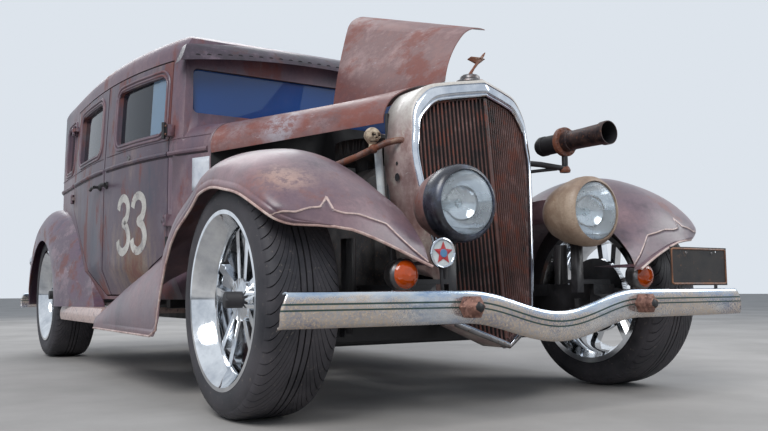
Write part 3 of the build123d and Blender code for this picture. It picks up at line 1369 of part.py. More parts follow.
# the shell's outside, with the gap to the stand that holds it
shell_keep_profile = [
    (0, -20), (LAMP_RIM_R + 6, -20), (LAMP_RIM_R + 2.5, 40), (LAMP_RIM_R - 7.5, 91), (LAMP_RIM_R - 33, 141),
    (0, LAMP_DEPTH + 1),
]
lens_profile = [(0, -16), (40, -13), (70, -6), (LENS_R, 1), (LENS_R + 1.5, 6), (0, 6)]
with BuildPart() as headlamp_shells:
    for side in (-1, 1):
        add(turned(shell_profile, side * LAMP_X, LAMP_Y, LAMP_Z))
save(headlamp_shells.part, "headlamp_shells")
with BuildPart() as headlamp_lenses:
    for side in (-1, 1):
        add(turned(lens_profile, side * LAMP_X, LAMP_Y, LAMP_Z))
save(headlamp_lenses.part, "headlamp_lenses")

with BuildPart() as lamp_stands:
    for side in (-1, 1):
        x = side * LAMP_X
        # post from a bracket on the frame rail up to the lamp
        add(boxed((x - 14, x + 14), (LAMP_Y + 76, LAMP_Y + 104), (RAIL_TOP + 20, LAMP_Z - 96)))
        inner, outer = sorted((x - side * 14, side * (RAIL_X + 10)))
        add(boxed((inner, outer), (LAMP_Y + 76, LAMP_Y + 120), (front_top + SEAT_GAP, front_top + 14)))
        add(turned(shell_keep_profile, x, LAMP_Y, LAMP_Z), mode=Mode.SUBTRACT)
save(lamp_stands.part, "lamp_stands")

amber_profile = [
    (0, -20), (20, -17), (AMBER_R - 8, -8), (AMBER_R, 4), (AMBER_R + 4, 8), (AMBER_R - 4, 50), (0, 60),
]
rail_side = RAIL_X + RAIL_W / 2 + SEAT_GAP
with BuildPart() as signal_lamps:
    for side in (-1, 1):
        add(turned(amber_profile, side * AMBER_X, AMBER_Y, AMBER_Z))
        # an angle bracket from the rail's side, short enough for the steered tyre
        bracket_z = (RAIL_TOP + 10, RAIL_TOP + 30)
        inner, outer = sorted((side * rail_side, side * (rail_side + 20)))
        add(boxed((inner, outer), (AMBER_Y + 40, AMBER_Y + 120), bracket_z))
        inner, outer = sorted((side * rail_side, side * AMBER_X))
        add(boxed((inner, outer), (AMBER_Y + 40, AMBER_Y + 60), bracket_z))
        stem_x = (side * AMBER_X - 10, side * AMBER_X + 10)
        add(boxed(stem_x, (AMBER_Y + 40, AMBER_Y + 55), (bracket_z[0], AMBER_Z)))
save(signal_lamps.part, "signal_lamps")

# Seats and dashboard
SEAT_HALF = 540.0
FRONT_SEAT_Y = 160.0
REAR_SEAT_Y = 820.0
CUSHION_TOP = 620.0
BACK_TOP = 1010.0
BACK_T = 91.0
REAR_CUSHION_TOP = 700.0
REAR_BACK_TOP = 1060.0


def bench(y, length, low, cushion_top, back_top):
    # a cushion with an upright back behind it
    seat = boxed((-SEAT_HALF, SEAT_HALF), (y, y + length), (low, cushion_top))
    return seat + boxed((-SEAT_HALF, SEAT_HALF), (y + length - 1, y + length - 1 + BACK_T), (low, back_top))


with BuildPart() as front_seat:
    add(bench(FRONT_SEAT_Y - 60, 450, TUNNEL_Z + SEAT_GAP, CUSHION_TOP, BACK_TOP))
    floor_z = BODY_BOTTOM + FLOOR_T + SEAT_GAP
    for side in (-1, 1):
        inner, outer = sorted((side * (TUNNEL_HALF + FLOOR_T + 8), side * SEAT_HALF))
        add(boxed((inner, outer), (FRONT_SEAT_Y - 40, FRONT_SEAT_Y + 420), (floor_z, TUNNEL_Z + 20)))
save(front_seat.part, "front_seat")
with BuildPart() as rear_seat:
    add(bench(REAR_SEAT_Y, 440, REAR_FLOOR_Z + SEAT_GAP, REAR_CUSHION_TOP, REAR_BACK_TOP))
save(rear_seat.part, "rear_seat")

WHEEL_CENTRE = (350.0, -20.0, 1000.0)
WHEEL_R = 195.0
WHEEL_GRIP = 20.0
with BuildPart() as dashboard:
    wall_y = CABIN_FRONT_Y + BODY_WALL + SEAT_GAP
    add(boxed((-560, 560), (wall_y, wall_y + 60), (900, 1100)))
    with BuildSketch(Plane(origin=WHEEL_CENTRE, z_dir=(0, 0.8, 0.6))):
        Circle(WHEEL_R)
        Circle(WHEEL_R - WHEEL_GRIP, mode=Mode.SUBTRACT)
        Rectangle(2 * WHEEL_R - WHEEL_GRIP, 26)
        Circle(40)
    extrude(amount=18)
    with BuildSketch(Plane(origin=WHEEL_CENTRE, z_dir=(0, -0.8, -0.6))):
        Circle(20)
    extrude(amount=760)
    # the column ends at the firewall
    add(boxed((0, 600), (-900, COWL_FRONT_Y + FIREWALL_T + SEAT_GAP), (300, 900)), mode=Mode.SUBTRACT)
save(dashboard.part, "dashboard")


# Stay arms from the radiator shell: the right one to the fender, the left one to the mock gun

def arm_bar(start, end, radius):
    with BuildPart(mode=Mode.PRIVATE) as bar:
        with BuildLine() as line:
            Line(start, end)
        with BuildSketch(Plane(line.line @ 0, z_dir=line.line % 0)):
            Circle(radius)
        sweep()
    return bar.part


ARM_R = 8.0
RIGHT_ARM = ((-240.0, -1572.0, 842.0), (-545.0, -1277.0, 701.2))
GUN_X = 400.0
GUN_Y = -1841.0
GUN_Z = 886.0
LEFT_ARM = ((236.0, -1597.0, 802.0), (GUN_X, -1631.0, 790.0))
GUN_POST_Y = -1631.0
shell_keep = extrude(
    shell_outline(-SEAT_GAP, -SEAT_GAP, SHELL_LOW, SHELL_POINT),
    amount=shell_length, dir=(0, 1, 0), mode=Mode.PRIVATE,
)
fender_keep = mirrored(fender_form(-SEAT_GAP))
with BuildPart() as shell_arms:
    add(arm_bar(*RIGHT_ARM, ARM_R) - shell_keep - fender_keep)
    add(arm_bar(*LEFT_ARM, ARM_R) - shell_keep)
save(shell_arms.part, "shell_arms")

# Mock gun made of scrap, beside the radiator on the car's left, on a post from its arm
gun_profile = [
    (33, 0), (41, 0), (41, 26), (27, 32), (27, 200), (53, 200), (53, 218), (36, 218), (36, 335), (0, 335),
    (0, 22), (33, 22),
]
with BuildPart() as scrap_gun:
    add(turned(gun_profile, GUN_X, GUN_Y, GUN_Z))
    add(boxed((GUN_X - 9, GUN_X + 9), (GUN_POST_Y - 9, GUN_POST_Y + 9), (794, GUN_Z - 40)))
    add(arm_bar(*LEFT_ARM, ARM_R + SEAT_GAP), mode=Mode.SUBTRACT)
save(scrap_gun.part, "scrap_gun")

# Skull on the right arm: round head and a narrower jaw
SKULL = (-322.0, -1491.0, 862.0)
SKULL_R = 31.0
with BuildPart() as skull:
    with Locations(SKULL):
        Sphere(SKULL_R)
    add(boxed((SKULL[0] - 17, SKULL[0] + 17), (SKULL[1] - 30, SKULL[1] + 2), (SKULL[2] - 44, SKULL[2] - 10)))
    add(arm_bar(*RIGHT_ARM, ARM_R + SEAT_GAP), mode=Mode.SUBTRACT)
save(skull.part, "skull")

# Tail lamps on short stalks from the rear fenders
TAIL_X = 815.0
TAIL_Y = 1735.0
TAIL_Z = 560.0
tail_profile = [(0, 64), (30, 60), (42, 50), (46, 42), (44, 10), (20, 0), (0, -2)]
with BuildPart() as tail_lamp:
    add(turned(tail_profile, TAIL_X, TAIL_Y, TAIL_Z))
    add(boxed((TAIL_X - 8, TAIL_X + 8), (TAIL_Y - 120, TAIL_Y + 4), (TAIL_Z - 8, TAIL_Z + 8)))
    add(rear_fender_form(-SEAT_GAP), mode=Mode.SUBTRACT)
with BuildPart() as tail_lamps:
    add(tail_lamp.part)
    add(mirrored(tail_lamp.part))
save(tail_lamps.part, "tail_lamps")
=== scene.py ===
import math

import bmesh
import bpy
from mathutils import Matrix, Vector
from mathutils.bvhtree import BVHTree


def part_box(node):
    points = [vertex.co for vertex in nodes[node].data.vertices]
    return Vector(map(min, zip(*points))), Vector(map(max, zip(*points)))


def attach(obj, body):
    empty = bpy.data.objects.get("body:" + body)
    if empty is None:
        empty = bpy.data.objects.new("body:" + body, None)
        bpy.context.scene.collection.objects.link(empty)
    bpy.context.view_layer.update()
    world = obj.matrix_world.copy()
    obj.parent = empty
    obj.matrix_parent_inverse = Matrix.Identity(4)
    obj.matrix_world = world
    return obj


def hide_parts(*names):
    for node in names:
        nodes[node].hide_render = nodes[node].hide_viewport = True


# Hot rod sedan, metres: +X is the car's left, the car faces -Y, +Z is up, ground at z 0.
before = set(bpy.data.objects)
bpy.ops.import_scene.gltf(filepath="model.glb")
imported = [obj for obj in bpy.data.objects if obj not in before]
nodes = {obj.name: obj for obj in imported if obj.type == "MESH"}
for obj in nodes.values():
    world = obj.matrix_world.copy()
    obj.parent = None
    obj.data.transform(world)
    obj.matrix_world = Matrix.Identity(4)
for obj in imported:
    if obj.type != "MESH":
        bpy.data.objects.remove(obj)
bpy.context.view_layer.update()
sides = {"right": -1, "left": 1}


# Small helpers

def tint(code):  # sRGB hex to the linear colour that shaders use
    channels = [((code >> shift) & 255) / 255 for shift in (16, 8, 0)]
    return tuple(c / 12.92 if c <= 0.04045 else ((c + 0.055) / 1.055) ** 2.4 for c in channels) + (1.0,)


def onTable(rows, at):  # smooth curve through (place, value) rows, flat past both ends
    if at <= rows[0][0]:
        return rows[0][1]
    if at >= rows[-1][0]:
        return rows[-1][1]
    i = max(k for k in range(len(rows) - 1) if rows[k][0] <= at)
    (x0, y0), (x1, y1) = rows[i], rows[i + 1]
    before = rows[i - 1] if i else rows[0]
    after = rows[i + 2] if i + 2 < len(rows) else rows[-1]
    m0 = (y1 - before[1]) / max(x1 - before[0], 1e-9)
    m1 = (after[1] - y0) / max(after[0] - x0, 1e-9)
    t, h = (at - x0) / (x1 - x0), x1 - x0
    return (
        (2 * t ** 3 - 3 * t ** 2 + 1) * y0 + (t ** 3 - 2 * t ** 2 + t) * h * m0
        + (3 * t ** 2 - 2 * t ** 3) * y1 + (t ** 3 - t ** 2) * h * m1
    )


def spread(start, end, step):
    count = max(2, int(abs(end - start) / step) + 1)
    return [start + (end - start) * k / (count - 1) for k in range(count)]


def gridFaces(rows, columns, ring=False, first=0):
    faces = []
    for i in range(rows - 1):
        for j in range(columns if ring else columns - 1):
            k = (j + 1) % columns
            faces.append((first + i * columns + j, first + i * columns + k,
                          first + (i + 1) * columns + k, first + (i + 1) * columns + j))
    return faces


def addPiece(name, points, faces, finishes, sharp=35, picks=None, uvs=None, marks=None):
    mesh = bpy.data.meshes.new(name)
    mesh.from_pydata([tuple(p) for p in points], [], faces)
    for finish in finishes:
        mesh.materials.append(finish)
    if picks:
        mesh.polygons.foreach_set("material_index", picks)
    if uvs:
        layer = mesh.uv_layers.new(name="strip")
        for loop in mesh.loops:
            layer.data[loop.index].uv = uvs[loop.vertex_index]
    for mark, values in (marks or {}).items():
        mesh.attributes.new(mark, "FLOAT", "POINT").data.foreach_set("value", values)
    tidyMesh(mesh, sharp)
    piece = bpy.data.objects.new(name, mesh)
    bpy.context.scene.collection.objects.link(piece)
    return piece


def tidyMesh(mesh, sharp=35, turn=True):
    shape = bmesh.new()
    shape.from_mesh(mesh)
    bmesh.ops.remove_doubles(shape, verts=shape.verts, dist=1e-5)
    loose = [v for v in shape.verts if not v.link_faces]
    if loose and shape.faces:
        bmesh.ops.delete(shape, geom=loose, context="VERTS")
    if turn:
        bmesh.ops.recalc_face_normals(shape, faces=shape.faces)
    shape.to_mesh(mesh)
    shape.free()
    mesh.shade_smooth()
    mesh.set_sharp_from_angle(angle=math.radians(sharp))


# pieces are worked on in a scene of their own, which is quicker; it is removed at the end
bench = bpy.data.scenes.new("bench")


def applied(piece, steps=0):  # modifiers made real; steps is how many frames a cloth runs first
    layer = bench.view_layers[0]
    bench.collection.objects.link(piece)
    for step in range(1, steps + 1):
        bench.frame_set(step)
    layer.update()
    mesh = bpy.data.meshes.new_from_object(piece.evaluated_get(layer.depsgraph))
    bench.collection.objects.unlink(piece)
    piece.modifiers.clear()
    piece.data = mesh
    return piece


def facing(piece, way, among=lambda f: True):  # turns the piece's faces so that they look along way
    if sum(f.normal.dot(way) for f in piece.data.polygons if among(f)) < 0:
        piece.data.flip_normals()
    return piece


def thicken(piece, wall):
    solid = piece.modifiers.new("wall", "SOLIDIFY")
    solid.thickness = wall
    solid.offset = -1
    solid.use_even_offset = True
    solid.thickness_clamp = 1.0
    return applied(piece)


def softened(piece, width, steps=2):
    bevel = piece.modifiers.new("edge", "BEVEL")
    bevel.width = width
    bevel.segments = steps
    bevel.limit_method = "ANGLE"
    bevel.angle_limit = math.radians(30)
    return applied(piece)


def joined(name, pieces):
    whole = bmesh.new()
    finishes = []
    for piece in pieces:
        start = len(whole.faces)
        whole.from_mesh(piece.data)
        whole.faces.ensure_lookup_table()
        slots = []
        for finish in piece.data.materials:
            if finish not in finishes:
                finishes.append(finish)
            slots.append(finishes.index(finish))
        for face in whole.faces[start:]:
            face.material_index = slots[face.material_index]
    mesh = bpy.data.meshes.new(name)
    whole.to_mesh(mesh)
    whole.free()
    for finish in finishes:
        mesh.materials.append(finish)
    for piece in pieces:
        bpy.data.objects.remove(piece)
    result = bpy.data.objects.new(name, mesh)
    bpy.context.scene.collection.objects.link(result)
    return result


def carry(piece, body, slot, *cadNodes):
    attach(piece, body)
    for node in cadNodes:
        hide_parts(node)
    return piece


def refined(node, name, finishes, body, slot, sharp=32, pick=None, cuts=()):
    # the CAD shape, merged and smoothly shaded
    # pick takes a face's middle and normal and gives its finish; cuts are planes (point, normal)
    mesh = nodes[node].data.copy()
    mesh.name = name
    mesh.materials.clear()
    for finish in finishes:
        mesh.materials.append(finish)
    tidyMesh(mesh, sharp, turn=False)
    for at, way in cuts:
        shape = bmesh.new()
        shape.from_mesh(mesh)
        everything = shape.verts[:] + shape.edges[:] + shape.faces[:]
        bmesh.ops.bisect_plane(shape, geom=everything, plane_co=at, plane_no=way)
        shape.to_mesh(mesh)
        shape.free()
    choices = [pick(f.center, f.normal) if pick else 0 for f in mesh.polygons]
    mesh.polygons.foreach_set("material_index", choices)
    piece = bpy.data.objects.new(name, mesh)
    bpy.context.scene.collection.objects.link(piece)
    return carry(piece, body, slot, node)


def spun(name, profile, centre, axis, finishes, steps=48, picks=None, sharp=35, turned=0.0):
    # profile rows are (along the axis, radius); picks gives each band its finish
    axis = Vector(axis).normalized()
    aside = axis.cross(Vector((0, 0, 1)) if abs(axis.z) < 0.9 else Vector((1, 0, 0))).normalized()
    up = aside.cross(axis)
    points, bands = [], []
    for along, radius in profile:
        for k in range(steps):
            angle = turned + 2 * math.pi * k / steps
            out = aside * math.cos(angle) + up * math.sin(angle)
            points.append(Vector(centre) + axis * along + out * radius)
    faces = gridFaces(len(profile), steps, ring=True)
    if picks:
        bands = [pick for pick in picks for k in range(steps)]
    return addPiece(name, points, faces, finishes, sharp, bands or None)


# Geometry Nodes that make what repeats

def newTree(name, inputs):
    tree = bpy.data.node_groups.new(name, "GeometryNodeTree")
    tree.interface.new_socket("Geometry", in_out="INPUT", socket_type="NodeSocketGeometry")
    for label, kind in inputs:
        tree.interface.new_socket(label, in_out="INPUT", socket_type=kind)
    tree.interface.new_socket("Geometry", in_out="OUTPUT", socket_type="NodeSocketGeometry")
    return tree, tree.nodes.new("NodeGroupInput"), tree.nodes.new("NodeGroupOutput")


def runTree(piece, tree, values):
    maker = piece.modifiers.new("maker", "NODES")
    maker.node_group = tree
    for item in tree.interface.items_tree:
        if item.item_type == "SOCKET" and item.in_out == "INPUT" and item.name in values:
            maker[item.identifier] = values[item.name]
    applied(piece)
    piece.data.shade_smooth()
    piece.data.set_sharp_from_angle(angle=math.radians(40))
    return piece


def rodTree():  # a round rod along each line of edges
    tree, enter, leave = newTree("rods along lines", [
        ("Radius", "NodeSocketFloat"), ("Sides", "NodeSocketInt"), ("Finish", "NodeSocketMaterial"),
    ])
    link = tree.links.new
    curve = tree.nodes.new("GeometryNodeMeshToCurve")
    ring = tree.nodes.new("GeometryNodeCurvePrimitiveCircle")
    sweep = tree.nodes.new("GeometryNodeCurveToMesh")
    real = tree.nodes.new("GeometryNodeRealizeInstances")
    paint = tree.nodes.new("GeometryNodeSetMaterial")
    sweep.inputs["Fill Caps"].default_value = True
    link(enter.outputs["Geometry"], curve.inputs["Mesh"])
    link(enter.outputs["Radius"], ring.inputs["Radius"])
    link(enter.outputs["Sides"], ring.inputs["Resolution"])
    link(curve.outputs["Curve"], sweep.inputs["Curve"])
    link(ring.outputs["Curve"], sweep.inputs["Profile Curve"])
    link(sweep.outputs["Mesh"], real.inputs["Geometry"])
    link(real.outputs["Geometry"], paint.inputs["Geometry"])
    link(enter.outputs["Finish"], paint.inputs["Material"])
    link(paint.outputs["Geometry"], leave.inputs["Geometry"])
    return tree


def stampTree():  # one small shape on every point, turned by the point's own angles
    tree, enter, leave = newTree("stamps on points", [
        ("Shape", "NodeSocketObject"), ("Size", "NodeSocketFloat"), ("Finish", "NodeSocketMaterial"),
    ])
    link = tree.links.new
    shape = tree.nodes.new("GeometryNodeObjectInfo")
    turn = tree.nodes.new("GeometryNodeInputNamedAttribute")
    turn.data_type = "FLOAT_VECTOR"
    turn.inputs["Name"].default_value = "turn"
    toAngles = tree.nodes.new("FunctionNodeEulerToRotation")
    put = tree.nodes.new("GeometryNodeInstanceOnPoints")
    real = tree.nodes.new("GeometryNodeRealizeInstances")
    paint = tree.nodes.new("GeometryNodeSetMaterial")
    size = tree.nodes.new("ShaderNodeCombineXYZ")
    link(enter.outputs["Geometry"], put.inputs["Points"])
    link(enter.outputs["Shape"], shape.inputs["Object"])
    link(shape.outputs["Geometry"], put.inputs["Instance"])
    link(turn.outputs["Attribute"], toAngles.inputs["Euler"])
    link(toAngles.outputs["Rotation"], put.inputs["Rotation"])
    for axis in "XYZ":
        link(enter.outputs["Size"], size.inputs[axis])
    link(size.outputs["Vector"], put.inputs["Scale"])
    link(put.outputs["Instances"], real.inputs["Geometry"])
    link(real.outputs["Geometry"], paint.inputs["Geometry"])
    link(enter.outputs["Finish"], paint.inputs["Material"])
    link(paint.outputs["Geometry"], leave.inputs["Geometry"])
    return tree


rodMaker, stampMaker = rodTree(), stampTree()


def rods(name, lines, radius, finish, sides=8, closed=False):
    points, edges = [], []
    for line in lines:
        first = len(points)
        points += [tuple(p) for p in line]
        edges += [(k, k + 1) for k in range(first, len(points) - 1)]
        if closed:
            edges.append((len(points) - 1, first))
    mesh = bpy.data.meshes.new(name)
    mesh.from_pydata(points, edges, [])
    piece = bpy.data.objects.new(name, mesh)
    bpy.context.scene.collection.objects.link(piece)
    return runTree(piece, rodMaker, {"Radius": radius, "Sides": sides, "Finish": finish})


def stamps(name, shape, places, finish, size=1.0):  # places are (point, (turn x, turn y, turn z))
    mesh = bpy.data.meshes.new(name)
    mesh.from_pydata([tuple(p) for p, turn in places], [], [])
    turns = mesh.attributes.new("turn", "FLOAT_VECTOR", "POINT")
    for k, (point, turn) in enumerate(places):
        turns.data[k].vector = turn
    piece = bpy.data.objects.new(name, mesh)
    bpy.context.scene.collection.objects.link(piece)
    runTree(piece, stampMaker, {"Shape": shape, "Size": size, "Finish": finish})
    bpy.data.objects.remove(shape)
    return piece


# Finishes

class Finish:  # a node material, put together step by step
    def __init__(self, name, fixed):
        self.material = bpy.data.materials.new(name)
        self.material.use_nodes = True
        self.tree = self.material.node_tree
        self.shader = self.tree.nodes["Principled BSDF"]
        for socket, value in fixed.items():
            self.shader.inputs[socket].default_value = value
        self.spot = self.add("ShaderNodeTexCoord").outputs["Object"]

    def add(self, kind, **settings):
        node = self.tree.nodes.new(kind)
        for key, value in settings.items():
            setattr(node, key, value)
        return node

    def feed(self, socket, value):
        if isinstance(value, bpy.types.NodeSocket):
            self.tree.links.new(value, socket)
        else:
            socket.default_value = value

    def noise(self, scale, detail=5.0, rough=0.6, stretch=(1, 1, 1), shift=0.0):
        mapping = self.add("ShaderNodeMapping")
        self.feed(mapping.inputs["Vector"], self.spot)
        mapping.inputs["Scale"].default_value = stretch
        mapping.inputs["Location"].default_value = (shift, shift * 0.7, shift * 1.3)
        node = self.add("ShaderNodeTexNoise")
        self.feed(node.inputs["Vector"], mapping.outputs["Vector"])
        node.inputs["Scale"].default_value = scale
        node.inputs["Detail"].default_value = detail
        node.inputs["Roughness"].default_value = rough
        return node.outputs["Fac"]

    def shades(self, value, *stops):
        node = self.add("ShaderNodeValToRGB")
        ramp = node.color_ramp
        for k, (place, colour) in enumerate(stops):
            stop = ramp.elements[k] if k < 2 else ramp.elements.new(place)
            stop.position, stop.color = place, colour
        self.feed(node.inputs["Fac"], value)
        return node.outputs["Color"]

    def soft(self, value, low, high, lowest=0.0, highest=1.0):
        node = self.add("ShaderNodeMapRange", interpolation_type="SMOOTHSTEP")
        limits = {"From Min": low, "From Max": high, "To Min": lowest, "To Max": highest}
        for socket, number in limits.items():
            node.inputs[socket].default_value = number
        self.feed(node.inputs["Value"], value)
        return node.outputs["Result"]

    def blend(self, factor, under, over):
        node = self.add("ShaderNodeMix", data_type="RGBA", blend_type="MIX")
        for index, value in ((0, factor), (6, under), (7, over)):
            self.feed(node.inputs[index], value)
        return node.outputs[2]

    def calc(self, operation, a, b=0.0):
        node = self.add("ShaderNodeMath", operation=operation)
        self.feed(node.inputs[0], a)
        self.feed(node.inputs[1], b)
        return node.outputs[0]

    def coordinate(self, axis):
        node = self.add("ShaderNodeSeparateXYZ")
        self.feed(node.inputs[0], self.spot)
        return node.outputs[axis]

    def nearTo(self, centre, inner, outer):  # 1 near a place, fading to 0
        node = self.add("ShaderNodeVectorMath", operation="DISTANCE")
        self.feed(node.inputs[0], self.spot)
        node.inputs[1].default_value = centre
        return self.soft(node.outputs["Value"], inner, outer, 1.0, 0.0)

    def mark(self, name):  # a value that the mesh carries
        return self.add("ShaderNodeAttribute", attribute_name=name).outputs["Fac"]

    def relief(self, height, strength, distance=0.002):
        node = self.add("ShaderNodeBump")
        node.inputs["Strength"].default_value = strength
        node.inputs["Distance"].default_value = distance
        self.feed(node.inputs["Height"], height)
        if self.shader.inputs["Normal"].is_linked:
            self.feed(node.inputs["Normal"], self.shader.inputs["Normal"].links[0].from_socket)
        self.feed(self.shader.inputs["Normal"], node.outputs["Normal"])

    def colour(self, value):
        self.feed(self.shader.inputs["Base Color"], value)

    def roughness(self, value):
        self.feed(self.shader.inputs["Roughness"], value)


def oldPaint(name, look):
    # thin old paint: clouds of three shades, rust blooms, scuffs and a fine grain
    paint = Finish(name, {"Coat Weight": look.get("sheen", 0.15), "Coat Roughness": 0.3})
    streak = look.get("streak", (1, 1, 1))
    clouds = paint.noise(look["cloud"], 4, 0.55, streak, look.get("shift", 0.0))
    patches = paint.noise(look["cloud"] * 3.1, 8, 0.68, streak, 3.1)
    grain = paint.noise(look["cloud"] * 34, 3, 0.7, (1, 1, 1), 7.7)
    fleck = paint.noise(look["cloud"] * 11, 6, 0.75, streak, 5.2)
    mixed = paint.calc("ADD", paint.calc("MULTIPLY", clouds, 0.6), paint.calc("MULTIPLY", patches, 0.4))
    mixed = paint.calc("ADD", mixed, paint.calc("MULTIPLY", paint.calc("SUBTRACT", fleck, 0.5), 0.22))
    ground = paint.shades(mixed, (0.38, tint(look["dark"])), (0.47, tint(look["base"])),
                          (0.53, tint(look.get("other", look["base"]))), (0.62, tint(look["light"])))
    bloom = paint.noise(look["cloud"] * 2.2, 9, 0.72, streak, 11.4)
    rust = paint.soft(bloom, look["rustFrom"], look["rustFrom"] + 0.1, 0.0, look.get("rustMost", 0.8))
    ground = paint.blend(rust, ground, tint(look["rust"]))
    scuffs = paint.noise(look["cloud"] * 6, 9, 0.8, (1, 0.4, 1.6), 21.0)
    scuffFrom = look.get("scuffFrom", 0.62)
    worn = paint.soft(scuffs, scuffFrom, scuffFrom + 0.06, 0.0, 0.55)
    ground = paint.blend(worn, ground, tint(look.get("scuff", look["light"])))
    if "rise" in look:
        low, high, code = look["rise"]
        area = paint.calc("MULTIPLY", paint.soft(paint.coordinate("Z"), low, high),
                          paint.soft(patches, 0.3, 0.5, 0.6, 1.0))
        ground = paint.blend(area, ground, tint(code))
    for centre, inner, outer, code, most in look.get("patches", ()):
        area = paint.calc("MULTIPLY", paint.nearTo(centre, inner, outer),
                          paint.soft(fleck, 0.42, 0.56, 0.15, most))
        ground = paint.blend(area, ground, tint(code))
    if "topShade" in look:
        low, high, code, most = look["topShade"]
        area = paint.calc("MULTIPLY", paint.soft(paint.coordinate("Z"), low, high, 0.0, most),
                          paint.soft(clouds, 0.35, 0.6, 0.5, 1.0))
        ground = paint.blend(area, ground, tint(code))
    if "crease" in look:
        # fender only: the recessed band below the crease is darkened as painted shade, the strip near the
        # opening's edge is lighter, and a thin painted highlight runs along the crease
        off, edge = paint.mark("crease"), paint.mark("edge")
        band = paint.soft(off, -0.003, 0.0, 1.0, 0.0)
        ground = paint.blend(paint.calc("MULTIPLY", band, 0.35), ground, tint(look["dark"]))
        lip = paint.calc("MULTIPLY", paint.soft(edge, 0.016, 0.026, 0.5, 0.0),
                         paint.soft(fleck, 0.35, 0.6, 0.4, 1.0))
        ground = paint.blend(lip, ground, tint(look["light"]))
        # the painted highlight along the crease
        away = paint.calc("ABSOLUTE", paint.calc("SUBTRACT", off, 0.0006))
        line = paint.soft(away, 0.0014, 0.0034, 1.0, 0.0)
        line = paint.calc("MULTIPLY", line, paint.soft(fleck, 0.36, 0.5, 0.35, 1.0))
        ground = paint.blend(line, ground, tint(look["crease"]))
        paint.relief(paint.soft(off, -0.0045, 0.0005), 0.8, 0.003)
    ground = paint.blend(paint.soft(grain, 0.35, 0.7, 0.0, 0.22), ground, tint(look["dark"]))
    paint.colour(ground)
    rough = look.get("rough", 0.42)
    paint.roughness(paint.calc("ADD", paint.soft(rust, 0, 1, rough, rough + 0.25),
                               paint.soft(patches, 0.3, 0.7, -0.05, 0.08)))
    paint.relief(grain, 0.12, 0.001)
    paint.relief(bloom, look.get("waves", 0.1), 0.004)
    return paint.material


def plain(name, look):  # one colour with cloudy variation, grain and uneven gloss
    base = Finish(name, look.get("fixed", {}))
    cloud = base.noise(look.get("cloud", 14), 6, 0.6)
    grain = base.noise(look.get("grain", 260), 3, 0.6, (1, 1, 1), 4.0)
    colour = base.shades(cloud, (0.35, tint(look["dark"])), (0.62, tint(look["light"])))
    if "speck" in look:
        specks = base.noise(look.get("speckScale", 90), 6, 0.75, (1, 1, 1), 9.0)
        speckFrom = look.get("speckFrom", 0.56)
        colour = base.blend(base.soft(specks, speckFrom, speckFrom + 0.08), colour, tint(look["speck"]))
    base.colour(colour)
    base.roughness(base.soft(cloud, 0.3, 0.7, look.get("glossy", 0.3), look.get("matt", 0.5)))
    base.relief(grain, look.get("bump", 0.1), 0.001)
    return base.material


def chromed(name, look):
    chrome = Finish(name, {"Metallic": 1.0})
    smear = chrome.noise(9, 6, 0.6)
    pits = chrome.noise(240, 4, 0.7, (1, 1, 1), 3.0)
    colour = chrome.shades(smear, (0.35, tint(look["dark"])), (0.6, tint(look["light"])))
    spots = chrome.soft(pits, look["pitFrom"], look["pitFrom"] + 0.05, 0.0, look.get("pitMost", 0.5))
    chrome.colour(chrome.blend(spots, colour, tint(0x6A5346)))
    chrome.roughness(chrome.calc("ADD", chrome.soft(smear, 0.4, 0.7, 0.06, 0.16),
                                 chrome.calc("MULTIPLY", spots, 0.35)))
    chrome.relief(pits, 0.03, 0.0006)
    return chrome.material


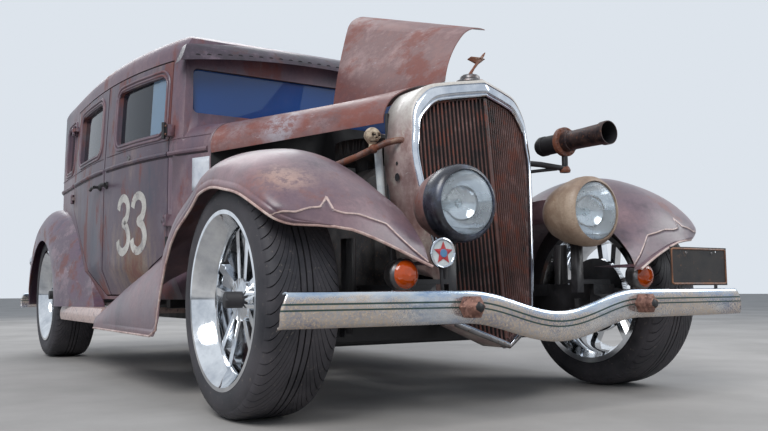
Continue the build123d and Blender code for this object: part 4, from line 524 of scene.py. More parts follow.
print("finishes")
paints = {
    "fender": oldPaint("worn mauve fender paint", {
        "base": 0x77606A, "other": 0x7F666C, "light": 0x98797E, "dark": 0x55434D, "rust": 0x875448,
        "cloud": 3.4, "rustFrom": 0.55, "rustMost": 0.55, "scuff": 0xA9908F, "scuffFrom": 0.64,
        # crease is the colour of the painted highlight along the crease
        "rough": 0.36, "sheen": 0.3, "topShade": (0.70, 0.80, 0x62525C, 0.6), "crease": 0xE2C6BC,
        "patches": [
            ((-0.787, -1.786, 0.664), 0.015, 0.085, 0xC9AA9C, 0.85),
            ((-0.742, -1.80, 0.662), 0.01, 0.07, 0xC4A092, 0.8),
            ((-0.85, -1.75, 0.60), 0.02, 0.13, 0x8C5448, 0.6),
            ((-0.70, -1.78, 0.72), 0.03, 0.14, 0x8E7A7A, 0.5),
        ],
    }),
    "rearFender": oldPaint("worn mauve rear fender paint", {
        "base": 0x72596A, "other": 0x6A5A66, "light": 0x98828A, "dark": 0x463E52, "rust": 0x844E40,
        "cloud": 3.1, "rustFrom": 0.51, "rustMost": 0.7, "scuff": 0xB4A2A8, "scuffFrom": 0.62,
        "rough": 0.38, "sheen": 0.25, "shift": 4.0,
    }),
    "hood": oldPaint("worn red mauve hood paint", {
        "base": 0x8F625C, "other": 0x7F5A58, "light": 0xAE8A86, "dark": 0x6A4A4A, "rust": 0x8A4A3C,
        "cloud": 2.6, "rustFrom": 0.5, "rustMost": 0.75, "scuff": 0xB8AEB4, "scuffFrom": 0.6,
        "rough": 0.4, "sheen": 0.2, "streak": (1, 0.45, 1),
        "patches": [
            ((-0.40, -0.97, 0.985), 0.03, 0.15, 0xB9B4BC, 0.85),
            ((-0.42, -1.20, 0.97), 0.02, 0.12, 0xAFA6AC, 0.7),
            ((-0.45, -0.72, 1.00), 0.02, 0.10, 0xA89CA2, 0.6),
        ],
    }),
    "body": oldPaint("mottled body paint", {
        "base": 0x6C5864, "other": 0x745C66, "light": 0x8C7478, "dark": 0x4A4553, "rust": 0x7E463C,
        "cloud": 2.4, "rustFrom": 0.52, "rustMost": 0.7, "scuff": 0x93909C, "scuffFrom": 0.63,
        "rough": 0.42, "sheen": 0.2, "streak": (1, 1, 0.45),
    }),
    "door": oldPaint("streaked door paint", {
        "base": 0x5B4C57, "other": 0x60525E, "light": 0x82706E, "dark": 0x404050, "rust": 0x7A4238,
        "cloud": 3.0, "rustFrom": 0.5, "rustMost": 0.8, "scuff": 0x8A8A96, "scuffFrom": 0.61,
        "rough": 0.44, "sheen": 0.2, "streak": (1, 1, 0.3),
        "patches": [
            ((-0.74, -0.1, 0.5), 0.05, 0.3, 0x8D7A62, 0.55),
        ],
    }),
    # near black paint for the thin rod just under the belt moulding: a painted shadow line, not a seam
    "seamShade": oldPaint("dark seam under the moulding", {
        "base": 0x2E262E, "light": 0x4A3E46, "dark": 0x1C181E, "rust": 0x4A2E2A, "cloud": 9.0,
        "rustFrom": 0.56,
    }),
    "shell": oldPaint("cream shell paint over rust", {
        "base": 0xB49A94, "other": 0xC8BCB2, "light": 0xDAD4CB, "dark": 0x8A6A66, "rust": 0x94604E,
        "cloud": 3.6, "rustFrom": 0.53, "rustMost": 0.7, "scuff": 0xE6E2DA, "scuffFrom": 0.6,
        "rough": 0.35, "sheen": 0.3, "rise": (0.84, 0.98, 0xDCD7CE),
    }),
    "lampRight": oldPaint("rusty mauve lamp paint", {
        "base": 0x8A6660, "other": 0x8E6C68, "light": 0xA78C88, "dark": 0x5E4A4C, "rust": 0x8C5444,
        "cloud": 7.0, "rustFrom": 0.52, "rustMost": 0.7, "scuff": 0xB39C94, "rough": 0.45,
    }),
    "lampRim": oldPaint("blue black lamp rim", {
        "base": 0x24252F, "other": 0x2B2E3B, "light": 0x4A5266, "dark": 0x17171D, "rust": 0x4A3230,
        "cloud": 9.0, "rustFrom": 0.58, "rustMost": 0.5, "scuff": 0x8B93A6, "scuffFrom": 0.68,
        "rough": 0.26, "sheen": 0.5,
    }),
    "lampLeft": oldPaint("dusty tan lamp paint", {
        "base": 0x9A8270, "other": 0xA48C78, "light": 0xBBA590, "dark": 0x75604F, "rust": 0x8E6A52,
        "cloud": 6.0, "rustFrom": 0.56, "rustMost": 0.5, "scuff": 0xC8B8A4, "rough": 0.5,
    }),
    # the bead along the fender opening's edge, lighter than the fender's paint
    "lip": oldPaint("worn bright edge", {
        "base": 0xC9A79E, "other": 0xD6BAB0, "light": 0xE8D6CC, "dark": 0x9A7A74, "rust": 0xB08474,
        "cloud": 14.0, "rustFrom": 0.6, "rustMost": 0.4, "scuff": 0xF0E6E0, "rough": 0.35,
    }),
    "visor": oldPaint("dark mauve visor paint", {
        "base": 0x3C323C, "other": 0x443844, "light": 0x6E5E6A, "dark": 0x221E26, "rust": 0x5A3832,
        "cloud": 5.0, "rustFrom": 0.54, "rustMost": 0.6, "scuff": 0x8A8290, "scuffFrom": 0.64,
        "rough": 0.4,
    }),
    "rusted": oldPaint("rust with paint left on it", {
        "base": 0x6E4A40, "other": 0x7A5648, "light": 0x9A7A68, "dark": 0x46302A, "rust": 0x80482E,
        "cloud": 12.0, "rustFrom": 0.46, "scuff": 0x9A8478, "rough": 0.6, "waves": 0.3,
    }),
    "grille": oldPaint("rusty grille bars", {
        "base": 0x54352F, "other": 0x5E3E38, "light": 0x80605A, "dark": 0x2A1D1B, "rust": 0x7A4030,
        "cloud": 8.0, "rustFrom": 0.5, "rustMost": 0.7, "scuff": 0x9A8482, "scuffFrom": 0.64,
        "rough": 0.5, "sheen": 0.1,
    }),
}
metals = {
    "chrome": chromed("old chrome", {"dark": 0xB4BCC8, "light": 0xE2E6EC, "pitFrom": 0.64}),
    "rimChrome": chromed("wheel chrome", {
        "dark": 0xC4C8CE, "light": 0xEEF0F2, "pitFrom": 0.68, "pitMost": 0.3,
    }),
    "steel": plain("dull steel", {
        "dark": 0x5C5A5C, "light": 0x8E8C8C, "speck": 0x6A4A3C, "fixed": {"Metallic": 0.9}, "glossy": 0.3,
        "matt": 0.5,
    }),
    "rustyIron": plain("rusty iron", {
        "dark": 0x4A3029, "light": 0x85604E, "speck": 0xA0705A, "cloud": 40, "fixed": {"Metallic": 0.35},
        "glossy": 0.5, "matt": 0.75, "bump": 0.4,
    }),
    "blackIron": plain("black frame iron", {
        "dark": 0x141416, "light": 0x2C2B2E, "speck": 0x4A3A34, "speckFrom": 0.6, "glossy": 0.4,
        "matt": 0.6,
    }),
    "gunIron": plain("blued pipe iron", {
        "dark": 0x26242A, "light": 0x5A4844, "speck": 0x7A5240, "cloud": 30, "fixed": {"Metallic": 0.6},
        "glossy": 0.35, "matt": 0.6, "bump": 0.25,
    }),
    "nutIron": plain("rusty hexagon nut", {
        "dark": 0x5A3A32, "light": 0x9A7264, "speck": 0xB58A78, "cloud": 60, "fixed": {"Metallic": 0.4},
        "glossy": 0.45, "matt": 0.65, "bump": 0.3,
    }),
}
plains = {
    "tyre": plain("dusty tyre rubber", {
        "dark": 0x24242A, "light": 0x4B484C, "speck": 0x6C645E, "speckScale": 60, "speckFrom": 0.6,
        "cloud": 7, "glossy": 0.55, "matt": 0.8, "bump": 0.25,
    }),
    "groove": plain("tread grooves", {"dark": 0x0C0C0E, "light": 0x1A191B, "glossy": 0.8, "matt": 0.9}),
    # black lining; the same finish also paints the shade inside the visor's holes, the shell's bracket
    # holes and the gun's bore
    "dark": plain("black lining", {"dark": 0x0A0A0C, "light": 0x16151A, "glossy": 0.6, "matt": 0.8}),
    "engine": plain("sooty engine iron", {
        "dark": 0x1E1D20, "light": 0x3C3A3A, "speck": 0x5A4638, "glossy": 0.45, "matt": 0.7, "bump": 0.2,
    }),
    "white": plain("chalky white paint", {
        "dark": 0xB9C2C6, "light": 0xE4E8E6, "speck": 0x8A7A70, "speckFrom": 0.64,
    }),
    "leather": plain("cracked seat leather", {
        "dark": 0x2A2224, "light": 0x4A3C3A, "speck": 0x5E4A42, "cloud": 10, "grain": 420, "bump": 0.35,
        "glossy": 0.38, "matt": 0.55,
    }),
    "dash": plain("dashboard paint", {"dark": 0x201E22, "light": 0x38343A, "glossy": 0.35, "matt": 0.5}),
    "bone": plain("aged bone", {
        "dark": 0x8A7460, "light": 0xD0BEA4, "speck": 0x6A5240, "speckScale": 220, "cloud": 60,
        "glossy": 0.45, "matt": 0.6, "bump": 0.3,
    }),
    "socket": plain("shadowed bone", {"dark": 0x1C1614, "light": 0x3A2E28, "glossy": 0.7, "matt": 0.8}),
    "plate": plain("bare dark plate", {
        "dark": 0x1C1A1B, "light": 0x34302E, "speck": 0x5E4434, "speckFrom": 0.6, "speckScale": 50,
        "cloud": 20, "glossy": 0.4, "matt": 0.6,
    }),
    "plateEdge": plain("worn orange border", {"dark": 0x6A4A3A, "light": 0x9A6A4C, "speck": 0x3A2E2A}),
    "card": plain("blank white card", {
        "dark": 0xC4CAD4, "light": 0xE6E9EE, "speck": 0xA8AEBC, "speckFrom": 0.62,
    }),
    "number": oldPaint("chipped cream number", {
        "base": 0xC3BFB8, "other": 0xCFCBC4, "light": 0xE2DED6, "dark": 0x8E8A8C, "rust": 0x84706C,
        "cloud": 9.0, "rustFrom": 0.56, "rustMost": 0.85, "scuff": 0x9A9494, "scuffFrom": 0.6,
        "rough": 0.5,
    }),
    "badgeRed": plain("red enamel", {"dark": 0xA81E26, "light": 0xC93036, "fixed": {"Coat Weight": 0.6}}),
    "badgeBlue": plain("blue enamel", {"dark": 0x3C6A94, "light": 0x5A90BC, "fixed": {"Coat Weight": 0.6}}),
    "carpet": plain("dark floor carpet", {
        "dark": 0x1A181A, "light": 0x2E2A2C, "grain": 700, "bump": 0.5, "glossy": 0.85, "matt": 0.95,
    }),
    "doorCard": plain("door card leathercloth", {
        "dark": 0x2A2226, "light": 0x40353A, "grain": 380, "bump": 0.3, "glossy": 0.45, "matt": 0.6,
    }),
    "dial": plain("cream dial face", {"dark": 0xB8AC94, "light": 0xD8CEB8, "cloud": 60, "glossy": 0.3}),
    "headliner": plain("grey headliner cloth", {
        "dark": 0x3E3A3A, "light": 0x56504E, "grain": 600, "bump": 0.3, "glossy": 0.8, "matt": 0.9,
    }),
}


def glassy(name, code, fixed, ripple=0.0, streak=(1, 1, 1)):
    clear = Finish(name, dict({"Transmission Weight": 1.0, "IOR": 1.45}, **fixed))
    haze = clear.noise(5, 5, 0.6, (1, 1, 1), 2.0)
    clear.colour(clear.shades(haze, (0.3, tint(code)), (0.75, tint(code))))
    rough = fixed.get("Roughness", 0.01)
    clear.roughness(clear.soft(haze, 0.40, 0.7, rough, rough + 0.08))
    if ripple:
        clear.relief(clear.noise(ripple, 1, 0.4, streak, 1.0), 0.3, 0.002)
    return clear.material


glasses = {
    # the screen's deep blue is partly the glass's own tint and partly a painted reflection of blue sky
    "screen": glassy("deep blue screen glass", 0x1F58A4, {"Transmission Weight": 0.4, "Coat Weight": 0.4}),
    "vent": glassy("pale blue vent glass", 0x9FC0DC, {"Transmission Weight": 0.6, "Coat Weight": 0.4}),
    "side": glassy("dark side glass", 0x3E4A5C, {"Transmission Weight": 0.85}),
    "amber": glassy("amber lens", 0xE85A10, {"Transmission Weight": 0.35, "Coat Weight": 0.5}),
    "red": glassy("red lens", 0xB01818, {"Transmission Weight": 0.4, "Coat Weight": 0.5}),
    "clear": glassy("clear lamp glass", 0xEAF2F6, {
        "Transmission Weight": 0.85, "IOR": 1.25, "Roughness": 0.22,
    }, 60, (1.6, 1, 0.12)),
}

# Camera, floor and light

print("camera and light")
view = {"at": (-1.669, -3.703, 0.3617), "yaw": 0.5611, "pitch": 0.0926, "roll": -0.0081, "lens": 37.756}
ahead = Vector((math.sin(view["yaw"]) * math.cos(view["pitch"]),
                math.cos(view["yaw"]) * math.cos(view["pitch"]), math.sin(view["pitch"])))
across = ahead.cross(Vector((0, 0, 1))).normalized()
upward = across.cross(ahead)
tilt = (math.cos(view["roll"]), math.sin(view["roll"]))
rightWay = across * tilt[0] + upward * tilt[1]
upWay = upward * tilt[0] - across * tilt[1]
lens = bpy.data.cameras.new("camera")
lens.sensor_width, lens.lens, lens.clip_start, lens.clip_end = 36, view["lens"], 0.05, 100
camera = bpy.data.objects.new("camera", lens)
camera.matrix_world = Matrix((rightWay, upWay, -ahead)).transposed().to_4x4()
camera.matrix_world.translation = view["at"]
bpy.context.scene.collection.objects.link(camera)
bpy.context.scene.camera = camera
bpy.context.scene.view_settings.view_transform = "Standard"

light = {"sky": 0xC9D6E6, "skyLevel": 0.55, "seen": 0xDDE4EC,
         "lamps": [((-5.5, -5.0, 6.5), 5.0, 470), ((5.5, -4.0, 4.5), 4.0, 150),
                   ((1.0, 6.5, 5.5), 5.0, 180)]}
world = bpy.data.worlds.new("studio")
bpy.context.scene.world = world
world.use_nodes = True
sky = world.node_tree
path = sky.nodes.new("ShaderNodeLightPath")
seenBy = sky.nodes.new("ShaderNodeMath")
seenBy.operation = "MAXIMUM"
seenToo = sky.nodes.new("ShaderNodeMath")
seenToo.operation = "MAXIMUM"
lit = sky.nodes["Background"]
lit.inputs["Color"].default_value = tint(light["sky"])
lit.inputs["Strength"].default_value = light["skyLevel"]
shown = sky.nodes.new("ShaderNodeBackground")
shown.inputs["Color"].default_value = tint(light["seen"])
shown.inputs["Strength"].default_value = 1.0
either = sky.nodes.new("ShaderNodeMixShader")
for start, end in (
    (path.outputs["Is Camera Ray"], seenBy.inputs[0]),
    (path.outputs["Is Glossy Ray"], seenBy.inputs[1]),
    (seenBy.outputs[0], seenToo.inputs[0]),
    (path.outputs["Is Transmission Ray"], seenToo.inputs[1]),
    (seenToo.outputs[0], either.inputs["Fac"]),
    (lit.outputs[0], either.inputs[1]),
    (shown.outputs[0], either.inputs[2]),
    (either.outputs[0], sky.nodes["World Output"].inputs["Surface"]),
):
    sky.links.new(start, end)
for k, (place, size, power) in enumerate(light["lamps"]):
    lamp = bpy.data.lights.new(f"softbox {k + 1}", "AREA")
    lamp.shape, lamp.size, lamp.energy = "DISK", size, power
    holder = bpy.data.objects.new(lamp.name, lamp)
    holder.location = place
    holder.rotation_euler = (Vector((0, 0, 0.6)) - Vector(place)).to_track_quat("-Z", "Y").to_euler()
    bpy.context.scene.collection.objects.link(holder)

floorPaint = plain("pale floor", {
    "dark": 0xA8A4A0, "light": 0xBDB9B5, "cloud": 1.2, "grain": 90, "bump": 0.1, "glossy": 0.8,
    "matt": 0.9,
})
floor = addPiece("floor", [(-40, -40, 0), (40, -40, 0), (40, 60, 0), (-40, 60, 0)], [(0, 1, 2, 3)],
                 [floorPaint])

# Front fenders

print("front fenders")
fender = {
    "wheelY": -1.5, "wheelZ": 0.338, "crown": 0.455, "roundness": 3.1, "wall": 0.0035, "apronLow": 0.60,
    "noseAngle": 79.1, "tailAngle": -20.3, "tailEndY": -0.06, "lip": 0.024, "bandDepth": 0.0035,
    # the straight tail's run and fall, how its low edge rises past the table, half width of the level crown
    "tailRun": 0.938, "tailFall": 0.347, "tailRise": 0.3697, "level": 0.68,
    # no crease behind creaseBack; far is the reach given where there is none
    "creaseBack": -1.72, "far": 0.2,
    # angle forward of the wheel's top, half width and radius of the opening's edge
    "edgeX": [(-20.3, 0.868), (18.1, 0.868), (39.4, 0.866), (55.2, 0.84), (60.9, 0.79), (64.8, 0.712),
              (66.2, 0.652), (70.9, 0.55), (79.1, 0.412)],
    "edgeR": [(-20.3, 0.332), (-5.3, 0.323), (18.1, 0.321), (39.4, 0.355), (55.2, 0.389), (60.9, 0.401),
              (64.8, 0.442), (66.2, 0.452), (70.9, 0.455), (79.1, 0.454)],
    # along the straight tail, radius of its lower edge
    "tailLow": [(0, 0.332), (0.09, 0.319), (0.25, 0.308), (0.36, 0.251), (0.444, 0.18), (0.482, 0.118),
                (0.55, 0.068)],
    # place behind the front axle, half width of the inner edge
    "innerX": [(-0.5, 0.408), (0.55, 0.408), (0.9, 0.546), (1.055, 0.618), (1.13, 0.645), (1.44, 0.703)],
    # angle, how far the inner edge lies below the crown
    "drop": [(-20.3, 0.097), (30.0, 0.097), (36.0, 0.093), (42.0, 0.085), (48.0, 0.075), (54.0, 0.066),
             (60.0, 0.054), (66.0, 0.038), (72.0, 0.018), (79.1, 0.0)],
    # the crease over the nose, from the opening's edge in to the frame
    "crease": [(-0.833, -1.827, 0.553), (-0.813, -1.855, 0.562), (-0.780, -1.870, 0.561),
               (-0.744, -1.874, 0.573), (-0.714, -1.877, 0.576), (-0.699, -1.869, 0.592),
               (-0.686, -1.859, 0.608), (-0.685, -1.870, 0.593), (-0.679, -1.885, 0.569),
               (-0.650, -1.890, 0.562), (-0.606, -1.888, 0.561), (-0.565, -1.889, 0.550),
               (-0.519, -1.886, 0.539), (-0.486, -1.899, 0.505), (-0.450, -1.911, 0.471),
               (-0.408, -1.921, 0.437)],
}


def fenderStations():
    rows = []
    nose, tail = fender["noseAngle"], fender["tailAngle"]
    turns = spread(nose, 46, 0.62) + spread(44.9, tail, 1.2)
    for angle in turns:
        turn = math.radians(angle)
        way = Vector((0, -math.sin(turn), math.cos(turn)))
        edge = way * onTable(fender["edgeR"], angle)
        top = way * (fender["crown"] - 0.020 * max(0.0, (angle - 60) / 19.1) ** 1.5)
        rows.append((angle, top, edge, onTable(fender["edgeX"], angle)))
    run, fall = fender["tailRun"], fender["tailFall"]
    along, out = Vector((0, run, -fall)), Vector((0, fall, run))
    lowEnd = fender["tailLow"][-1][0]
    endY = fender["tailEndY"] - fender["wheelY"]
    for k in range(1, 41):
        q = k / 40
        reach = 0.5
        for turn in range(40):
            low = onTable(fender["tailLow"], reach) + fender["tailRise"] * max(0.0, reach - lowEnd)
            reach = 0.5 * reach + 0.5 * q * (endY - fall * low) / run
        top = along * (q * (endY - fall * fender["crown"]) / run) + out * fender["crown"]
        rows.append((tail - 60 * q, top, along * reach + out * low, fender["edgeX"][0][1]))
    return rows


def creaseReach(x, y, z):  # distance from the right side's crease, negative on the band below it
    if y > fender["creaseBack"]:
        return fender["far"]
    spot, best = Vector((x, y, z)), fender["far"]
    line = [Vector(p) for p in fender["crease"]]
    for start, end in zip(line, line[1:]):
        along = end - start
        share = max(0.0, min(1.0, (spot - start).dot(along) / along.length_squared))
        best = min(best, (start + along * share - spot).length)
    level = 0.0
    if x > line[0].x:
        for start, end in zip(line, line[1:]):
            if start.x <= x <= end.x:
                level = start.z + (end.z - start.z) * (x - start.x) / (end.x - start.x)
        if x > line[-1].x:
            level = line[-1].z
    return -best if z < level else best


def frontFender(side):
    upper, lower, fine = 66, 12, 160
    middle = fender["innerX"][0][1]
    points, creases, edges = [], [], []
    axle = Vector((0, fender["wheelY"], fender["wheelZ"]))
    stations = fenderStations()
    power = 2 / fender["roundness"]
    for angle, top, edge, edgeX in stations:
        inner = min(onTable(fender["innerX"], top.y), edgeX - 0.004)
        radial = Vector((0, top.y, top.z)).normalized()
        # walk the section finely, then place columns by distance from its lower edge
        walk = []
        for k in range(fine + 1):
            a = math.pi / 2 * k / fine
            x = inner + (edgeX - inner) * math.sin(a) ** power
            spot = edge + (top - edge) * math.cos(a) ** power
            inward = max(0.0, (fender["level"] - x) / (fender["level"] - middle))
            sink = radial * (onTable(fender["drop"], angle) * inward ** 1.85)
            walk.append(Vector((x, spot.y, spot.z)) - sink)
        run = [0.0]
        for k in range(1, fine + 1):
            run.append(run[-1] + (walk[k] - walk[k - 1]).length)
        total = run[-1]
        rim = min(0.030, total * 0.3)
        marks = [(total - rim) * k / upper for k in range(upper + 1)]
        marks += [total - rim + rim * k / lower for k in range(1, lower + 1)]
        row, reaches, below = [], [], []
        for mark in marks:
            k = max(i for i in range(fine) if run[i] <= mark + 1e-9)
            share = (mark - run[k]) / max(run[k + 1] - run[k], 1e-9)
            spot = walk[k].lerp(walk[k + 1], min(1.0, share))
            along = (walk[min(fine, k + 2)] - walk[max(0, k - 2)]).normalized()
            outward = radial * along.x - Vector((1, 0, 0)) * along.dot(radial)
            reach = creaseReach(-spot.x, spot.y + axle.y, spot.z + axle.z)
            lipShare = max(0.0, 1 - (total - mark) / fender["lip"])
            push = 0.0028 * math.sin(math.pi * min(1.0, lipShare * 1.15))
            push -= 0.0012 * math.exp(-((total - mark - fender["lip"]) / 0.004) ** 2)
            if reach < 0:
                push -= fender["bandDepth"] * min(1.0, -reach / 0.006) * (1 - min(1.0, lipShare * 2))
            row.append(spot + outward * push)
            reaches.append(reach)
            below.append(total - mark)
        low = fender["apronLow"] - fender["wheelZ"]
        apron = [Vector((inner, row[0].y, row[0].z + (min(low, row[0].z - 0.002) - row[0].z) * k / 3))
                 for k in (3, 2, 1)]
        row = apron + row
        creases += [fender["far"]] * 3 + reaches
        edges += [0.3] * 3 + below
        points += [Vector((side * p.x, p.y + axle.y, p.z + axle.z)) for p in row]
    columns = len(points) // len(stations)
    faces = gridFaces(len(stations), columns)
    name = "frontFender" + ("Left" if side > 0 else "Right")
    piece = addPiece(name, points, faces, [paints["fender"]], 50, marks={"crease": creases, "edge": edges})
    centre = Vector((side * 0.62, fender["wheelY"], 0.45))
    outward = sum(f.normal.dot(f.center - centre) * f.area for f in piece.data.polygons)
    if outward < 0:
        piece.data.flip_normals()
    thicken(piece, fender["wall"])
    line = [points[i * columns + columns - 1] for i in range(0, len(stations), 2)]
    lip = rods(name + "Lip", [line], 0.0040, paints["lip"], 8)
    return [piece, lip]


carry(joined("frontFenders", frontFender(-1) + frontFender(1)), "chassis", "fender_paint", "front_fenders")

# Body, doors and their trim

print("body and doors")


def castTree(names):
    points, faces = [], []
    for name in names:
        first = len(points)
        points += [v.co.copy() for v in nodes[name].data.vertices]
        faces += [[first + i for i in f.vertices] for f in nodes[name].data.polygons]
    return BVHTree.FromPolygons(points, faces)


bodyNodes = ["body_shell"] + [f"door_{end}_{side}" for end in ("front", "rear") for side in sides]
bodySkin = castTree(bodyNodes)
seam = {"a": -0.365, "b": 0.250, "c": 0.897, "gap": 0.0035}


def onSkin(side, y, z, lift=0.0):  # place on the body's side, lifted off it
    hit, normal, face, reach = bodySkin.ray_cast(Vector((side * 1.3, y, z)), Vector((-side, 0, 0)))
    if hit is None:
        return Vector((side * 0.7, y, z))
    if normal.x * side < 0:
        normal = -normal
    return hit + normal * lift


def doorAt(side, y):  # the body that a place on the car's side, below the window heads, moves with
    if seam["a"] < y < seam["b"]:
        return "door_front_" + side
    if seam["b"] < y < seam["c"]:
        return "door_rear_" + side
    return "chassis"


cabin = ((-0.3, -0.5, 0.7), (0.3, 1.1, 1.2))


def looksIn(c, n):  # whether a face looks into the cabin
    target = Vector([min(max(c[k], cabin[0][k]), cabin[1][k]) for k in range(3)])
    return (target - c).normalized().dot(n) > 0.35


levels = {"firewall": -0.598, "underside": 0.45, "floorTop": 0.62, "cardTop": 0.935}


def shellPick(c, n):  # 0 paint, 1 headliner, 2 black lining, 3 carpet
    if c.y < levels["firewall"] and n.y < -0.5:
        return 2
    if n.z < -0.5 and c.z < levels["underside"]:
        return 2
    if not looksIn(c, n):
        return 0
    if c.z < levels["floorTop"] and n.z > 0.3:
        return 3
    return 1 if c.z > levels["floorTop"] else 2


def doorPick(c, n):  # 0 paint, 1 door card, 2 the paint inside above the card
    if not looksIn(c, n):
        return 0
    return 1 if c.z < levels["cardTop"] else 2


refined("body_shell", "bodyPanels", [paints["body"], plains["headliner"], plains["dark"], plains["carpet"]],
        "chassis", "doors_paint", 28, shellPick)
for node in bodyNodes[1:]:
    name = node.replace("_", " ").title().replace(" ", "")
    refined(node, name, [paints["door"], plains["doorCard"], paints["body"]], node, "doors_paint", 28,
            doorPick, [((0, 0, levels["cardTop"]), (0, 0, 1))])

trim = {
    # under is the thin rod of painted shadow just below the belt moulding
    "belt": (0.943, 0.0105), "under": (0.9305, 0.0030), "line": (1.004, 0.0032), "frontY": -0.585,
    "rearY": 1.33,
    # distance out from the window's edge and radius of each reveal moulding
    "reveals": [(0.010, 0.0050), (0.026, 0.0062)], "corner": 0.05,
}
windows = {  # first y, last y, low z, high z
    "front": (-0.322, 0.105, 1.042, 1.290), "rear": (0.335, 0.770, 1.042, 1.290),
    "quarter": (0.955, 1.165, 1.042, 1.290),
}
trimLines = {}
for side, way in sides.items():
    spans = [(trim["frontY"], seam["a"] - seam["gap"]), (seam["a"] + seam["gap"], seam["b"] - seam["gap"]),
             (seam["b"] + seam["gap"], seam["c"] - seam["gap"]), (seam["c"] + seam["gap"], trim["rearY"])]
    for start, end in spans:
        body = doorAt(side, (start + end) / 2)
        for z, radius in (trim["belt"], trim["under"], trim["line"]):
            line = [onSkin(way, y, z, radius * 0.1) for y in spread(start, end, 0.03)]
            # the thin rod under the belt takes the near black paint, a painted shadow line under the
            # moulding
            finish = "seamShade" if radius == trim["under"][1] else "body" if body == "chassis" else "door"
            trimLines.setdefault((body, radius, finish), []).append(line)
    for label, (y0, y1, z0, z1) in windows.items():
        body = "chassis" if label == "quarter" else f"door_{label}_{side}"
        for off, radius in trim["reveals"]:
            corner = trim["corner"] + off * 0.6
            loop = []
            for cy, cz, first in ((y1, z1, 0), (y0, z1, 90), (y0, z0, 180), (y1, z0, 270)):
                cy += (off - corner) * (1 if cy == y1 else -1)
                cz += (off - corner) * (1 if cz == z1 else -1)
                for k in range(9):
                    angle = math.radians(first + 11.25 * k)
                    loop.append((cy + corner * math.cos(angle), cz + corner * math.sin(angle)))
            loop = [(loop[k][0] + (loop[(k + 1) % 36][0] - loop[k][0]) * q,
                     loop[k][1] + (loop[(k + 1) % 36][1] - loop[k][1]) * q)
                    for k in range(36) for q in ((0, 0.2, 0.4, 0.6, 0.8) if k % 9 == 8 else (0,))]
            line = [onSkin(way, y, z, 0.0005) for y, z in loop]
            trimLines.setdefault((body, radius, "body"), []).append(line + line[:1])
kinds = {trim["belt"][1]: "Belt", trim["under"][1]: "BeltShade", trim["line"][1]: "Line",
         trim["reveals"][0][1]: "RevealInner", trim["reveals"][1][1]: "RevealOuter"}
for (body, radius, finish), lines in trimLines.items():
    name = body.title().replace("_", "") + kinds[radius]
    carry(rods(name, lines, radius, paints[finish], 8), body, "doors_paint")

number = {  # strokes of one digit, across and up from its middle
    "stroke": [(-0.058, 0.076), (-0.042, 0.113), (0.0, 0.131), (0.042, 0.112), (0.056, 0.072),
               (0.040, 0.030), (0.004, 0.008), (0.044, -0.016), (0.066, -0.064), (0.048, -0.110),
               (0.0, -0.132), (-0.045, -0.113), (-0.062, -0.074)],
    "width": 0.040, "middles": (-0.002, -0.146), "z": 0.665, "wide": 0.88, "high": 0.93,
}


def raceNumber(side):
    way = sides[side]
    points, faces = [], []
    ys = [(k, p[0]) for k, p in enumerate(number["stroke"])]
    zs = [(k, p[1]) for k, p in enumerate(number["stroke"])]
    last = len(number["stroke"]) - 1
    for middle in number["middles"]:
        first, steps = len(points), 96
        for k in range(steps + 1):
            at = last * k / steps
            here = Vector((onTable(ys, at), onTable(zs, at)))
            near = Vector((onTable(ys, min(at + 0.05, last)), onTable(zs, min(at + 0.05, last))))
            back = Vector((onTable(ys, max(at - 0.05, 0)), onTable(zs, max(at - 0.05, 0))))
            along = (near - back).normalized()
            aside = Vector((-along.y, along.x)) * number["width"] / 2
            for q in (-1, -0.33, 0.33, 1):
                spot = here + aside * q
                across, rise = spot.x * number["wide"] * way, spot.y * number["high"]
                points.append(onSkin(way, middle + across, number["z"] + rise, 0.0009))
        faces += gridFaces(steps + 1, 4, first=first)
    piece = addPiece("raceNumber" + side.title(), points, faces, [plains["number"]], 60)
    return carry(facing(piece, Vector((way, 0, 0))), "door_front_" + side, "doors_paint")


for side in sides:
    raceNumber(side)

handle = {"z": 0.868, "frontY": 0.205, "rearY": 0.300, "stub": 0.030, "length": 0.085}
for side, way in sides.items():
    for end, y, reach in (("front", handle["frontY"], -1), ("rear", handle["rearY"], 1)):
        root = onSkin(way, y, handle["z"], 0.0)
        out = root + Vector((way * handle["stub"], 0, 0))
        lever = []
        for q in (0, 0.15, 0.3, 0.5, 0.7, 0.85, 1.0):
            bend = Vector((way * 0.003 * math.sin(q * 3.1), reach * q * handle["length"], -0.006 * q * q))
            lever.append(out + bend)
        name = f"doorHandle{end.title()}{side.title()}"
        grip = rods(name + "Grip", [lever, [root, out]], 0.0075, metals["blackIron"], 12)
        profile = [(-0.002, 0.0), (-0.002, 0.018), (0.006, 0.017), (0.012, 0.011), (0.014, 0.0)]
        base = spun(name + "Base", profile, root, (way, 0, 0), [metals["blackIron"]], 20)
        carry(joined(name, [grip, base]), f"door_{end}_{side}", "black_frame")


def slab(name, low, high, finish, edge=0.002, steps=2):  # a block with softened edges
    xs, ys, zs = [(low[k], high[k]) for k in range(3)]
    points = [(x, y, z) for x in xs for y in ys for z in zs]
    faces = [(0, 1, 3, 2), (4, 6, 7, 5), (0, 4, 5, 1), (2, 3, 7, 6), (0, 2, 6, 4), (1, 5, 7, 3)]
    return softened(addPiece(name, points, faces, [finish]), edge, steps)


def screw(name, at, way, radius, finish):  # a domed head with its rim
    profile = [(-0.002, 0.0), (-0.002, radius), (0.0008, radius), (0.0026, radius * 0.72), (0.0034, 0.0)]
    return spun(name, profile, at, way, [finish], 14)


